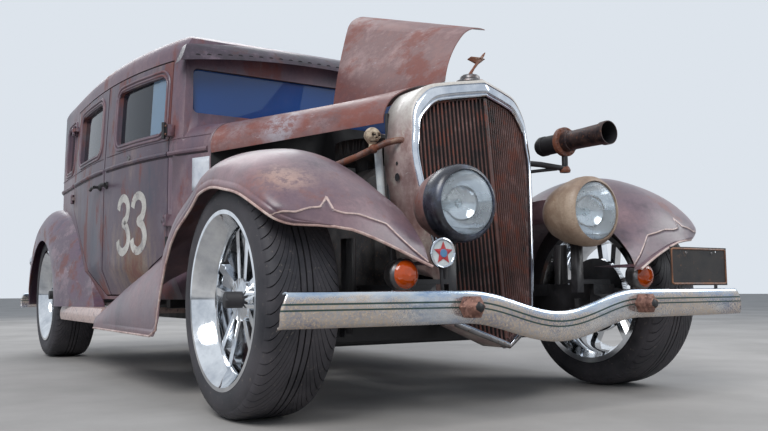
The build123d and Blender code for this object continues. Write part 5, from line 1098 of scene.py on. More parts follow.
hardware = {
    "hinges": [(-0.368, 1.040, 0.035), (-0.368, 0.560, 0.032)], "lock": (-0.042, 0.962),
    "card": (-0.594, -0.506, 0.775, 0.910),
}
for side, way in sides.items():
    pieces = []
    for k, (y, z, half) in enumerate(hardware["hinges"]):
        root = onSkin(way, y - 0.004, z, 0.0)
        profile = [(-half, 0.0), (-half, 0.0085), (-half * 0.34, 0.0085), (-half * 0.32, 0.0078),
                   (half * 0.32, 0.0078), (half * 0.34, 0.0085), (half, 0.0085), (half, 0.0)]
        pieces.append(spun(f"barrel{k}", profile, root + Vector((way * 0.005, 0, 0)), (0, 0, 1),
                           [metals["blackIron"]], 20))
        low = (min(root.x, root.x - way * 0.006), y - 0.034, z - half * 0.8)
        high = (max(root.x + way * 0.003, root.x), y - 0.006, z + half * 0.8)
        pieces.append(slab(f"leaf{k}", low, high, metals["blackIron"]))
        for rise in (-0.5, 0.5):
            spot = root + Vector((way * 0.002, -0.018, half * rise))
            pieces.append(screw("hingeScrew", spot, (way, 0, 0), 0.005, paints["rusted"]))
    carry(joined("doorHinges" + side.title(), pieces), "chassis", "black_frame")
    spot = onSkin(way, *hardware["lock"])
    profile = [(-0.002, 0.0), (-0.002, 0.016), (0.003, 0.0155), (0.0045, 0.012), (0.003, 0.0095),
               (0.0022, 0.0)]
    ring = spun("doorLock" + side.title(), profile, spot, (way, 0, 0), [metals["steel"]], 24)
    carry(ring, "door_front_" + side, "chrome")
y0, y1, z0, z1 = hardware["card"]
grid = [onSkin(-1, y, z, 0.0012) for z in spread(z0, z1, 0.02) for y in spread(y0, y1, 0.02)]
columns = len(spread(y0, y1, 0.02))
card = addPiece("cowlCard", grid, gridFaces(len(grid) // columns, columns), [plains["card"]])
carry(thicken(facing(card, Vector((-1, 0, 0))), 0.0008), "chassis", None)

# Hood, radiator shell and grille

print("hood, shell and grille")
for side in sides:
    refined("hood_" + side, "hood" + side.title(), [paints["hood"]], "hood_" + side, "hood_paint", 24)

shell = {
    "half": 0.252, "top": 1.052, "low": 0.250, "point": 0.180, "backY": -1.456, "side": 0.026,
    "crest": 0.058, "faceY": -1.673, "faceZ": 0.990, "lean": 0.11, "sweep": 0.36, "wall": 0.003,
    "footBackY": -1.642, "footZ": 0.42,
    # how far in from the outer edge (0 to 1), how far forward of the bars, finish
    "rows": [(0.0, None, 0), (0.0, -0.060, 0), (0.0, -0.020, 0), (0.0, 0.000, 0), (0.03, 0.007, 0),
             (0.12, 0.011, 0), (0.20, 0.0115, 0), (0.24, 0.009, 1), (0.28, 0.0125, 1), (0.36, 0.0150, 1),
             (0.55, 0.0165, 1), (0.72, 0.0155, 1), (0.80, 0.0125, 1), (0.83, 0.0095, 1), (0.87, 0.0125, 1),
             (0.94, 0.0135, 1), (1.0, 0.0100, 1), (1.0, -0.012, 1)],
}


def shellEdge(inward):  # the outline, from the bottom point up one side to the crest and down the other
    half, top = shell["half"] - shell["side"] * inward, shell["top"] - shell["crest"] * inward
    low, point = shell["low"] + 0.016 * inward, shell["point"] + 0.018 * inward
    rows = [(0, 0, point), (1, half * 0.66, low), (2, half * 0.80, low + 0.18), (3, half, 0.76),
            (4, half * 0.985, 0.88 - 0.025 * inward), (5, half * 0.955, 0.945 - 0.042 * inward),
            (6, half * 0.86, top - 0.06), (7, half * 0.70, top - 0.026), (8, half * 0.42, top - 0.012),
            (9, 0, top)]
    steps = [0, 0.25, 0.5, 0.75, 1] + [1 + k / 6 for k in range(1, 13)] + [3 + k / 6 for k in range(1, 37)]
    right = []
    for at in steps:
        k = min(int(at), 8)
        straight = k < 2 or k == 8
        mix = [rows[k][c] + (rows[k + 1][c] - rows[k][c]) * (at - k) for c in (1, 2)]
        bent = [onTable([(r[0], r[c]) for r in rows[1:9]], at) for c in (1, 2)]
        right.append(mix if straight else bent)
    return [(x, z) for x, z in right] + [(-x, z) for x, z in reversed(right[1:-1])]


def faceY(x, z):
    return shell["faceY"] + shell["lean"] * (z - shell["faceZ"]) + shell["sweep"] * abs(x)


def radiatorShell():
    points, columns = [], 0
    for inward, forward, finish in shell["rows"]:
        loop = shellEdge(inward)
        columns = len(loop)
        for x, z in loop:
            front = faceY(x, z) - (forward or 0)
            back = shell["backY"] if z > shell["footZ"] else shell["footBackY"]
            points.append((x, min(front, back) if forward is not None else back, z))
    faces = gridFaces(len(shell["rows"]), columns, ring=True)
    picks = [row[2] for row in shell["rows"][1:] for k in range(columns)]
    piece = addPiece("radiatorShell", points, faces, [paints["shell"], metals["chrome"]], 40, picks)
    facing(piece, Vector((0, 0, 1)), lambda f: f.center.z > 1.0 and f.center.y > -1.6)
    return thicken(piece, shell["wall"])


grille = {"pitch": 0.0126, "thick": 0.0031, "count": 17, "inward": 1.06, "deep": 0.002}


def grilleBars():
    loop = shellEdge(grille["inward"])
    lines, frameLine = [], [(x, faceY(x, z) + 0.004, z) for x, z in loop]
    for index in range(-grille["count"], grille["count"] + 1):
        x = index * grille["pitch"]
        heights = []
        for k in range(len(loop)):
            (xa, za), (xb, zb) = loop[k], loop[(k + 1) % len(loop)]
            if (xa - x) * (xb - x) <= 0 and xa != xb:
                heights.append(za + (zb - za) * (x - xa) / (xb - xa))
        if len(heights) < 2:
            continue
        low, high = min(heights), max(heights)
        lines.append([(x, faceY(x, z) + grille["deep"], z) for z in spread(low, high, 0.2)])
    bars = rods("grilleBarSet", lines, grille["thick"], paints["grille"], 8)
    middle = rods("grilleMiddle", [[(0, faceY(0, z) - 0.001, z) for z in (0.21, 0.5, 0.8, 0.985)]], 0.0062,
                  paints["grille"], 10)
    ring = rods("grilleRing", [frameLine + frameLine[:1]], 0.004, paints["grille"], 8)
    low = shellEdge(0.55)
    rail = [(x, faceY(x, z) - 0.012, z - 0.004) for x, z in low if z < 0.30]
    rail = sorted(rail)
    tip = rods("grilleTip", [rail], 0.0075, metals["steel"], 10)
    return joined("grilleBars", [bars, middle, ring, tip])


def grilleBacking():  # a dark screen behind the bars
    loop = shellEdge(1.03)
    points = [(x, faceY(x, z) + 0.016, z) for x, z in loop] + [(0, faceY(0, 0.6) + 0.016, 0.6)]
    faces = [(k, (k + 1) % len(loop), len(loop)) for k in range(len(loop))]
    return addPiece("grilleBacking", points, faces, [plains["dark"]])


carry(grilleBacking(), "chassis", "core_black")
carry(radiatorShell(), "chassis", "shell_cream", "radiator_shell")
carry(grilleBars(), "chassis", "rusty_iron", "grille")
refined("radiator_core", "radiatorCore", [plains["dark"]], "chassis", "core_black")

# Bumpers

print("bumpers")
bumper = {
    "half": 0.873, "z": 0.316, "faceY": -2.0055, "endBack": 0.024, "dip": 0.060, "dipHalf": 0.339,
    "length": 1.75, "wall": 0.005,
    # back from the face, height from the middle, place down the strip
    "section": [(0.026, 0.0400, 0.00), (0.018, 0.0438, 0.06), (0.010, 0.0436, 0.12), (0.0045, 0.0400, 0.18),
                (0.0015, 0.0320, 0.27), (0.0, 0.0200, 0.36), (-0.0002, 0.0060, 0.46), (0.0, -0.0080, 0.57),
                (0.0005, -0.0220, 0.68), (0.0020, -0.0340, 0.80), (0.0060, -0.0420, 0.89),
                (0.0120, -0.0446, 0.95), (0.0180, -0.0440, 1.00)],
}


def bumperPaint():
    strip = Finish("peppered bumper chrome", {})
    uv = strip.add("ShaderNodeUVMap", uv_map="strip")
    parts = strip.add("ShaderNodeSeparateXYZ")
    strip.feed(parts.inputs[0], uv.outputs["UV"])
    down = parts.outputs["Y"]
    smear = strip.noise(16, 7, 0.7, (0.35, 1, 1))
    pepper = strip.noise(150, 6, 0.8, (1, 1, 1), 2.0)
    cloud = strip.noise(6, 5, 0.6, (0.5, 1, 1), 5.0)
    bright = strip.shades(smear, (0.36, tint(0x8FA6C6)), (0.5, tint(0xC6D2DE)), (0.62, tint(0xE6EAEE)))
    wobble = strip.calc("ADD", down, strip.calc("MULTIPLY", strip.calc("SUBTRACT", smear, 0.5), 0.5))
    rustBand = strip.soft(wobble, 0.20, 0.34)
    amount = strip.calc("MULTIPLY", rustBand, strip.soft(cloud, 0.36, 0.56, 0.35, 1.0))
    grains = strip.soft(pepper, 0.46, 0.56)
    rusty = strip.shades(pepper, (0.35, tint(0x7A5A44)), (0.5, tint(0xB09880)), (0.66, tint(0xD8CCBC)))
    mask = strip.calc("MULTIPLY", amount, strip.calc("ADD", strip.calc("MULTIPLY", grains, 0.45), 0.55))
    colour = strip.blend(mask, bright, rusty)
    for middle in (0.405, 0.515):
        line = strip.soft(strip.calc("ABSOLUTE", strip.calc("SUBTRACT", down, middle)), 0.012, 0.022, 1.0,
                          0.0)
        line = strip.calc("MULTIPLY", line, strip.soft(pepper, 0.3, 0.42, 0.55, 0.95))
        colour = strip.blend(line, colour, tint(0x123A34))
        mask = strip.calc("MAXIMUM", mask, line)
    strip.colour(colour)
    strip.feed(strip.shader.inputs["Metallic"], strip.soft(mask, 0.0, 1.0, 1.0, 0.25))
    strip.roughness(strip.soft(mask, 0.0, 1.0, 0.10, 0.42))
    strip.relief(pepper, 0.12, 0.001)
    return strip.material


def bumperBlade():
    points, uvs, count = [], [], 160
    for k in range(count + 1):
        x = -bumper["half"] + 2 * bumper["half"] * k / count
        share = min(1.0, abs(x) / bumper["dipHalf"])
        middle = bumper["z"] - bumper["dip"] * (0.5 + 0.5 * math.cos(math.pi * share))
        face = bumper["faceY"] + bumper["endBack"] * (x / bumper["half"]) ** 2
        slope = bumper["dip"] * 0.5 * math.pi / bumper["dipHalf"] * math.sin(math.pi * share)
        slope *= 1 if x > 0 else -1
        lean = math.atan(slope)
        for back, height, down in bumper["section"]:
            trimmed = x * (1 - 0.022 * max(0.0, height / 0.045) * abs(x / bumper["half"]) ** 30)
            points.append((trimmed - math.sin(lean) * height, face + back,
                           middle + math.cos(lean) * height))
            uvs.append(((x + bumper["half"]) / bumper["length"], down))
    faces = gridFaces(count + 1, len(bumper["section"]))
    piece = addPiece("frontBumper", points, faces, [bumperPaint()], 60, uvs=uvs)
    return thicken(facing(piece, Vector((0, -1, 0))), bumper["wall"])


blade = bumperBlade()
rearBlade = blade.data.copy()
rearBlade.name = "rearBumper"
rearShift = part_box("bumpers")[1].y
for v in rearBlade.vertices:
    share = min(1.0, abs(v.co.x) / bumper["dipHalf"])
    middle = bumper["z"] - bumper["dip"] * (0.5 + 0.5 * math.cos(math.pi * share))
    v.co = Vector((-v.co.x, rearShift - (v.co.y - bumper["faceY"]) - 0.0005, v.co.z - middle + bumper["z"]))
rearPiece = bpy.data.objects.new("rearBumper", rearBlade)
bpy.context.scene.collection.objects.link(rearPiece)
carry(joined("bumperBlades", [blade, rearPiece]), "chassis", "chrome", "bumpers")
nut = {"x": 0.339, "y": -2.03, "z": 0.316, "thick": 0.0265, "bolt": 0.0155}


def nutPick(c, n):  # 1 on the two big nuts, but not on the bolt ends inside them
    onNut = abs(c.y - nut["y"]) < nut["thick"]
    return 1 if onNut and abs(abs(c.x) - nut["x"]) + abs(c.z - nut["z"]) > nut["bolt"] else 0


refined("bumper_irons", "bumperIrons", [metals["blackIron"], metals["nutIron"]], "chassis", "black_frame",
        30, nutPick)

# Wheels

print("wheels")
wheel = {
    "front": (-1.5, 0.338), "rear": (1.294, 0.350), "middle": 0.730, "half": 0.112, "pitches": 60,
    "tread": 0.0055, "sweep": 0.52, "gap": 0.0042, "lip": 0.259, "clear": 0.0002,
}


def tyreProfile(radius, proud):  # across the tread from the middle, radius
    return [
        (0.000, radius - proud), (0.030, radius - proud), (0.060, radius - 0.0012 - proud),
        (0.082, radius - 0.0042 - proud), (0.096, radius - 0.0105 - proud),
        (0.104, radius - 0.020 - proud * 0.6), (0.109, radius - 0.034), (0.1118, radius - 0.052),
        (0.1105, radius - 0.068), (0.1080, radius - 0.078), (0.1075, radius - 0.0815),
    ]


def treadRadius(radius, across):
    return onTable([(abs(x), r) for x, r in tyreProfile(radius, 0.0)], abs(across))


def tyre(end, side):
    y, radius = wheel[end]
    way = sides[side]
    centre = Vector((way * wheel["middle"], y, radius))
    lip = wheel["lip"]
    radius -= wheel["clear"]  # the foot stays just above the ground
    outer = tyreProfile(radius, wheel["tread"])
    half = outer + [(0.1040, lip + 0.004), (0.100, lip - 0.001)]
    profile = [(x, r) for x, r in reversed(half)] + [(-x, r) for x, r in half[1:]]
    picks = [1 if max(abs(start[0]), abs(end[0])) > 0.1 else 0 for start, end in zip(profile, profile[1:])]
    carcass = spun("carcass", profile, centre, (way, 0, 0), [plains["groove"], plains["tyre"]], 96, picks)
    # one pitch of the tread: a swept block on each side of the middle rib
    points, faces = [], []
    step = 2 * math.pi / wheel["pitches"]
    for half in (1, -1):
        first, columns = len(points), 11
        for k in range(columns):
            q = k / (columns - 1)
            across = 0.020 + (0.1045 - 0.020) * q
            swing = wheel["sweep"] * (1 - q) ** 1.9
            surface = treadRadius(radius, across)
            slack = wheel["gap"] / radius * (0.55 + 0.45 * min(1.0, q * 2.2))
            for edge, deep in ((0, 1), (0, 0), (1, 0), (1, 1)):
                angle = swing + (step - slack) * edge
                r = surface - (wheel["tread"] if deep else 0.0)
                points.append(Vector((half * across, -math.sin(angle) * r, -math.cos(angle) * r)))
        faces += gridFaces(columns, 4, first=first)
        faces += [(first, first + 1, first + 2, first + 3)]
        last = first + (columns - 1) * 4
        faces += [(last + 3, last + 2, last + 1, last)]
    block = addPiece("treadBlock", points, faces, [plains["tyre"]], 30)
    angles = [step * k for k in range(wheel["pitches"])]
    blocks = stamps("tread", block, [(centre, (angle, 0, 0)) for angle in angles], plains["tyre"])
    rib = []
    for x0, x1 in ((-0.0155, -0.0025), (0.0025, 0.0155)):
        foot = radius - wheel["tread"]
        rib.append(spun("rib", [(x0, foot), (x0, radius), (x1, radius), (x1, foot)], centre, (1, 0, 0),
                        [plains["tyre"]], 96))
    name = "tyre" + end.title() + side.title()
    return carry(joined(name, [carcass, blocks] + rib), f"wheel_{end}_{side}", "tyre", f"tyre_{end}_{side}")


for end in ("front", "rear"):
    for side, way in sides.items():
        tyre(end, side)
        body = f"wheel_{end}_{side}"
        refined(f"rim_{end}_{side}", "rim" + end.title() + side.title(), [metals["rimChrome"]], body,
                "rim_chrome", 28)

# Lamps

print("lamps")
lamp = {
    "x": 0.258, "y": -1.704, "z": 0.609,
    "bowl": [(0.0, 0.0), (0.002, 0.020), (0.009, 0.042), (0.024, 0.064), (0.048, 0.083), (0.078, 0.0965),
             (0.108, 0.1045), (0.130, 0.1085), (0.134, 0.1090)],
    "rim": [(0.134, 0.1090), (0.1355, 0.1075), (0.137, 0.1105), (0.150, 0.1130), (0.172, 0.1135),
            (0.188, 0.1110), (0.198, 0.1050), (0.203, 0.0985), (0.2045, 0.0955), (0.202, 0.0942),
            (0.192, 0.0940)],
    "mirror": [(0.192, 0.0930), (0.176, 0.0860), (0.150, 0.0740), (0.128, 0.0560), (0.116, 0.0340),
               (0.112, 0.0140), (0.112, 0.0)],
    "lens": [(0.196, 0.0935), (0.201, 0.0905), (0.2062, 0.0790), (0.2104, 0.0590), (0.2130, 0.0350),
             (0.2140, 0.0140), (0.2142, 0.0)],
}
for side, way in sides.items():
    at = (way * lamp["x"], lamp["y"], lamp["z"])
    coat = paints["lampRight"] if side == "right" else paints["lampLeft"]
    edge = paints["lampRim"] if side == "right" else paints["lampLeft"]
    bowl = spun("bowl", lamp["bowl"] + lamp["rim"][1:], at, (0, -1, 0), [coat, edge], 72,
                [0] * (len(lamp["bowl"]) - 1) + [1] * (len(lamp["rim"]) - 1))
    mirrorBowl = spun("mirror", lamp["mirror"], at, (0, -1, 0), [metals["rimChrome"]], 72)
    bulb = spun("bulb", [(0.112, 0.008), (0.128, 0.008), (0.132, 0.012), (0.142, 0.013), (0.150, 0.008),
                         (0.153, 0.0)],
                at, (0, -1, 0), [glasses["clear"]], 24)
    shellPiece = joined("headlamp" + side.title(), [bowl, mirrorBowl, bulb])
    carry(shellPiece, "chassis", "lamp_paint", *(["headlamp_shells"] if side == "right" else []))
    glass = spun("headlampGlass" + side.title(), lamp["lens"], at, (0, -1, 0), [glasses["clear"]], 72)
    carry(glass, "chassis", "lens", *(["headlamp_lenses"] if side == "right" else []))

signal = {"x": 0.473, "y": -1.888, "z": 0.403, "radius": 0.0385}
tailLensY = 1.77


def signalPick(c, n):  # 0 on the lens, 1 on its housing
    inside = (abs(c.x) - signal["x"]) ** 2 + (c.z - signal["z"]) ** 2 < signal["radius"] ** 2
    return 0 if c.y < signal["y"] and inside else 1


refined("signal_lamps", "signalLamps", [glasses["amber"], metals["steel"]], "chassis", "amber", 30,
        signalPick)
refined("tail_lamps", "tailLamps", [glasses["red"], metals["chrome"]], "chassis", "red_lens", 30,
        lambda c, n: 0 if c.y > tailLensY else 1)

# What keeps its CAD shape, with its own finish

print("frame, cab and small parts")
keptShapes = [
    # CAD node, piece, finish, slot, angle in degrees past which an edge stays sharp
    ("rear_fenders", "rearFenders", paints["rearFender"], "fender_paint", 30),
    ("running_boards", "runningBoards", paints["fender"], "fender_paint", 30),
    ("sun_visor", "sunVisor", paints["visor"], "black_frame", 30),
    ("chassis_frame", "frameRails", metals["blackIron"], "black_frame", 32),
    ("front_axle", "frontAxle", metals["blackIron"], "black_frame", 32),
    ("rear_axle", "rearAxle", metals["blackIron"], "black_frame", 32),
    ("springs_and_dampers", "springsAndDampers", metals["blackIron"], "black_frame", 32),
    ("exhaust", "exhaustPipes", metals["rustyIron"], "rusty_iron", 32),
    ("engine", "engineBlock", plains["engine"], "engine_iron", 32),
    ("dashboard", "dashboard", plains["dash"], "dash_black", 32),
    ("lamp_stands", "lampStands", metals["blackIron"], "black_frame", 32),
]
for node, name, finish, slot, sharp in keptShapes:
    refined(node, name, [finish], "chassis", slot, sharp)

# The pipe gun made of scrap

gun = {
    "at": (0.400, -1.841, 0.886),
    "barrel": [(0.0, 0.0375), (0.0, 0.0405), (0.004, 0.0410), (0.024, 0.0405), (0.028, 0.0365),
               (0.120, 0.0345), (0.170, 0.0340), (0.172, 0.0370), (0.198, 0.0370)],
    "disc": [(0.198, 0.0370), (0.199, 0.0510), (0.201, 0.0528), (0.215, 0.0528), (0.218, 0.0505),
             (0.220, 0.0380)],
    "breech": [(0.220, 0.0360), (0.228, 0.0360), (0.230, 0.0345), (0.300, 0.0345), (0.302, 0.0362),
               (0.322, 0.0362), (0.334, 0.0300), (0.3345, 0.0)],
    "bore": [(0.0, 0.0375), (0.02, 0.0365), (0.150, 0.0300), (0.150, 0.0)], "bolts": 16,
    # the post's place, its low and its high end; the ring that the disc's bolts stand on
    "post": (0.400, -1.631, 0.790, 0.853), "boltRing": 0.0465, "boltBack": 0.2,
}
postX, postY, postLow, postHigh = gun["post"]
barrel = gun["barrel"] + gun["disc"][1:] + gun["breech"]
pieces = [
    spun("gunTube", barrel, gun["at"], (0, 1, 0), [metals["gunIron"], paints["rusted"], plains["dark"]], 48,
         [0] * (len(gun["barrel"]) - 1) + [1] * (len(gun["disc"]) - 1) + [0]
         + [2] * (len(gun["breech"]) - 1)),
    # the bore is lined in black: painted shade inside the barrel
    spun("gunBore", gun["bore"], gun["at"], (0, 1, 0), [plains["dark"]], 48),
    rods("gunPost", [[(postX, postY, postLow - 0.006), (postX, postY, postHigh)]], 0.011,
         metals["blackIron"], 14),
    spun("gunFoot", [(-0.014, 0.0), (-0.014, 0.018), (-0.006, 0.020), (0.004, 0.016), (0.010, 0.011)],
         (postX, postY, postLow), (0, 0, 1), [paints["rusted"]], 24),
]
for k in range(gun["bolts"]):
    angle = 2 * math.pi * (k + 0.5) / gun["bolts"]
    reach = gun["boltRing"]
    spot = Vector(gun["at"]) + Vector((reach * math.cos(angle), gun["boltBack"], reach * math.sin(angle)))
    pieces.append(screw("gunBolt", spot, (0, -1, 0), 0.0036, paints["rusted"]))
carry(joined("scrapGun", pieces), "chassis", "rusty_iron", "scrap_gun")

# Plate, steering and glass

refined("number_plate", "numberPlate", [plains["plate"]], "chassis", "plate_black")
refined("tie_rod", "tieRod", [metals["blackIron"]], "tie_rod", "black_frame")
ventY = -0.19
for side, way in sides.items():
    refined("knuckle_" + side, "knuckle" + side.title(), [metals["blackIron"]], "knuckle_" + side,
            "black_frame")
    for end in ("front", "rear"):
        refined(f"door_glass_{end}_{side}", "doorGlass" + end.title() + side.title(),
                [glasses["side"], glasses["vent"]], f"door_{end}_{side}", "glass", 32,
                lambda c, n: 1 if c.y < ventY else 0, [((0, ventY, 0), (0, 1, 0))])
refined("fixed_glass", "fixedGlass", [glasses["screen"], glasses["side"]], "chassis", "glass", 30,
        lambda c, n: 0 if c.y < -0.3 else 1)

# Visor holes in painted shade, cap, ornament and badge

print("small front parts")


def oval(name, wide, high, deep, finish):  # a flat oval plug that faces -y
    points, steps = [], 20
    for y, share in ((0.0, 1.0), (-deep, 1.0), (-deep, 0.0)):
        for k in range(steps):
            angle = 2 * math.pi * k / steps
            points.append((wide * share * math.cos(angle), y, high * share * math.sin(angle)))
    return addPiece(name, points, gridFaces(3, steps, ring=True), [finish])


visor = {"holes": 25, "firstX": -0.576, "pitch": 0.048, "low": 1.312, "arch": 0.058, "half": 0.65,
         "up": 0.020}
visorSkin = castTree(["sun_visor"])
holes = []
for k in range(visor["holes"]):
    x = visor["firstX"] + visor["pitch"] * k
    low = visor["low"] + visor["arch"] * (1 - (x / visor["half"]) ** 2)
    hit, normal, face, reach = visorSkin.ray_cast(Vector((x, -0.9, low + visor["up"])), Vector((0, 1, 0)))
    if hit:
        holes.append((hit + Vector((0, 0.0006, 0)), (0, 0, 0)))
# the visor's holes are flat dark ovals on its face: painted shade where the openings are, no real openings
plug = oval("hole", 0.0105, 0.0048, 0.0010, plains["dark"])
carry(stamps("visorHoles", plug, holes, plains["dark"]), "chassis", "black_frame")

cap = {
    "at": (0, -1.6, 1.050),
    "profile": [(0.0, 0.0), (0.0, 0.050), (0.004, 0.052), (0.010, 0.050), (0.014, 0.040),
                (0.018, 0.034), (0.026, 0.033), (0.031, 0.028), (0.034, 0.014),
                (0.035, 0.0)],
    # the ornament's spine: across, height and radius
    "spine": [(0, 1.080, 0.012), (0.004, 1.092, 0.0085), (0.014, 1.106, 0.0075), (0.027, 1.122, 0.0085),
              (0.042, 1.140, 0.0105), (0.055, 1.156, 0.0085), (0.064, 1.168, 0.0050),
              (0.068, 1.173, 0.0010)],
}
capPieces = [spun("cap", cap["profile"], cap["at"], (0, 0, 1), [metals["steel"]], 40)]
points = []
for x, z, radius in cap["spine"]:
    for k in range(16):
        angle = 2 * math.pi * k / 16
        points.append((x + radius * 0.62 * math.cos(angle), -1.6 + radius * math.sin(angle), z))
capPieces.append(addPiece("fin", points, gridFaces(len(cap["spine"]), 16, ring=True), [paints["rusted"]]))
for way in (-1, 1):
    rows = []
    for k in range(9):
        q = k / 8
        for back, rise in ((0.0, 0.010), (0.008, 0.006), (0.016, -0.002), (0.022, -0.010)):
            rows.append((0.040 + way * 0.030 * q + 0.012 * q, -1.612 + back + 0.030 * q,
                         1.138 + rise * (1 - 0.75 * q) + 0.016 * q))
    capPieces.append(thicken(addPiece("wing", rows, gridFaces(9, 4), [paints["rusted"]], 60), 0.0016))
carry(joined("radiatorCap", capPieces), "chassis", "chrome", "radiator_cap")

badge = {"at": (-0.355, -1.912, 0.462), "star": (0.033, 0.015)}
pieces = [
    spun("badgeRing", [(-0.003, 0.0), (-0.003, 0.041), (0.001, 0.043), (0.005, 0.0425), (0.007, 0.039),
                       (0.005, 0.0355), (0.004, 0.0350), (0.004, 0.0)], badge["at"], (0, -1, 0),
         [metals["chrome"], plains["white"]], 40,
         [0, 0, 0, 0, 0, 0, 1]),
    rods("badgeStem", [[(-0.355, -1.909, 0.462), (-0.355, -1.905, 0.420), (-0.348, -1.902, 0.345)]], 0.005,
         metals["blackIron"], 10),
]
star = []
for k in range(10):
    angle = math.pi / 2 + math.pi * k / 5
    reach = badge["star"][k % 2]
    star.append((badge["at"][0] + reach * math.cos(angle), badge["at"][1] - 0.0052,
                 badge["at"][2] + reach * math.sin(angle)))
star.append((badge["at"][0], badge["at"][1] - 0.0075, badge["at"][2]))
pieces.append(addPiece("badgeStar", star, [((k + 1) % 10, k, 10) for k in range(10)], [plains["badgeRed"]],
                       5))
pieces.append(spun("badgeCentre", [(0.0055, 0.012), (0.0082, 0.011), (0.0088, 0.0)], badge["at"],
                   (0, -1, 0), [plains["badgeBlue"]], 24))
carry(joined("frontBadge", pieces), "chassis", "chrome")

# Skull, the arms that carry it and the gun, and the bay's bits


def skullHead(at, size):
    points, picks, rows, columns = [], [], 30, 40
    holes = [((-0.36, -0.86, 0.02), 0.23), ((0.36, -0.86, 0.02), 0.23), ((0.0, -0.95, -0.28), 0.12)]
    for i in range(rows + 1):
        theta = math.pi * i / rows
        for j in range(columns):
            phi = 2 * math.pi * j / columns
            way = Vector((math.sin(theta) * math.cos(phi), math.sin(theta) * math.sin(phi),
                          math.cos(theta)))
            low = max(0.0, -way.z - 0.05)
            shape = Vector((way.x * (0.86 - 0.42 * low), way.y * (1.0 - 0.30 * low),
                            way.z * (0.92 + 0.16 * low)))
            if way.y < 0:
                shape.y -= 0.05 * low
                brow = math.exp(-((way.z - 0.28) / 0.12) ** 2) * max(0.0, -way.y)
                cheek = math.exp(-((way.z + 0.22) / 0.12) ** 2)
                cheek *= math.exp(-((abs(way.x) - 0.62) / 0.2) ** 2)
                shape += way * (0.07 * brow + 0.10 * cheek)
            for centre, reach in holes:
                away = (way - Vector(centre).normalized()).length
                if away < reach:
                    shape -= Vector((0, way.y, 0)) * 0.42 * (1 - (away / reach) ** 2)
            if way.y < -0.3 and -0.80 < way.z < -0.46:
                shape += Vector((0, 0.06 * (0.5 + 0.5 * math.cos(way.x * 62)), 0))
            points.append(Vector(at) + shape * size)
    faces = gridFaces(rows + 1, columns, ring=True)
    for i in range(rows):
        for j in range(columns):
            theta, phi = math.pi * (i + 0.5) / rows, 2 * math.pi * (j + 0.5) / columns
            way = Vector((math.sin(theta) * math.cos(phi), math.sin(theta) * math.sin(phi),
                          math.cos(theta)))
            deep = any((way - Vector(c).normalized()).length < r * 0.86 for c, r in holes)
            line = way.y < -0.35 and (-0.66 < way.z < -0.61)
            picks.append(1 if deep or line else 0)
    return addPiece("skullHead", points, faces, [plains["bone"], plains["socket"]], 50, picks)


skullAt = (-0.322, -1.491, 0.862)
neck = spun("skullNeck", [(-0.036, 0.0), (-0.036, 0.012), (-0.026, 0.010), (-0.014, 0.014)], skullAt,
            (0, 0, 1), [plains["bone"]], 20)
carry(joined("skull", [skullHead(skullAt, 0.031), neck]), "chassis", "bone", "skull")

arms = {
    "right": [(-0.236, -1.572, 0.838), (-0.246, -1.562, 0.845), (-0.262, -1.549, 0.845),
              (-0.288, -1.524, 0.838), (-0.317, -1.497, 0.822), (-0.36, -1.455, 0.796),
              (-0.45, -1.367, 0.752), (-0.545, -1.277, 0.7012)],
    "left": [(0.236, -1.597, 0.802), (0.30, -1.610, 0.800), (0.36, -1.622, 0.794), (0.400, -1.631, 0.790)],
    "brace": [(0.240, -1.585, 0.770), (0.31, -1.604, 0.780), (0.37, -1.622, 0.788)],
}
pieces = [rods("armRight", [arms["right"]], 0.0108, paints["rusted"], 14),
          rods("armLeft", [arms["left"]], 0.0100, metals["blackIron"], 14),
          rods("armBrace", [arms["brace"]], 0.0060, metals["blackIron"], 12)]
ball = [(-0.016, 0.0), (-0.014, 0.008), (-0.009, 0.0132), (0.0, 0.0158), (0.009, 0.0132), (0.014, 0.008),
        (0.016, 0.0)]
for at, way, finish in (
    ((-0.320, -1.494, 0.820), (0, 0, 1), paints["rusted"]),
    ((-0.240, -1.568, 0.842), (1, 0, 0), paints["rusted"]),
    ((0.398, -1.631, 0.789), (0, 0, 1), metals["blackIron"]),
    ((0.240, -1.597, 0.802), (1, 0, 0), metals["blackIron"]),
):
    pieces.append(spun("joint", ball, at, way, [finish], 20))
carry(joined("shellArms", pieces), "chassis", "rusty_iron", "shell_arms")

bay = {
    "tube": [(-0.276, -1.452, 0.832), (-0.270, -1.452, 0.75), (-0.262, -1.452, 0.66),
             (-0.258, -1.452, 0.56)],
    "post": [(-0.246, -1.462, 0.950), (-0.242, -1.462, 0.80), (-0.236, -1.462, 0.62),
             (-0.232, -1.462, 0.40)],
    # holes in the shell's side, drawn as dark discs of painted shade: height and radius
    "holeAt": (-0.2525, -1.532), "holes": [(0.727, 0.012), (0.772, 0.006), (0.800, 0.006)],
}
pieces = [rods("bayTube", [bay["tube"]], 0.0135, plains["white"], 16),
          rods("bayPost", [bay["post"]], 0.0075, metals["blackIron"], 12)]
for z, radius in bay["holes"]:
    profile = [(0.0, 0.0), (0.0, radius), (0.0012, radius * 1.12), (0.0018, radius), (0.0008, radius * 0.9),
               (0.0006, 0.0)]
    pieces.append(spun("bracketHole", profile, (*bay["holeAt"], z), (-1, 0, 0), [plains["dark"]], 20))
carry(joined("bayPipes", pieces), "chassis", "black_frame")

# Seats, padded forms blown up as cloth and then pressed into channels

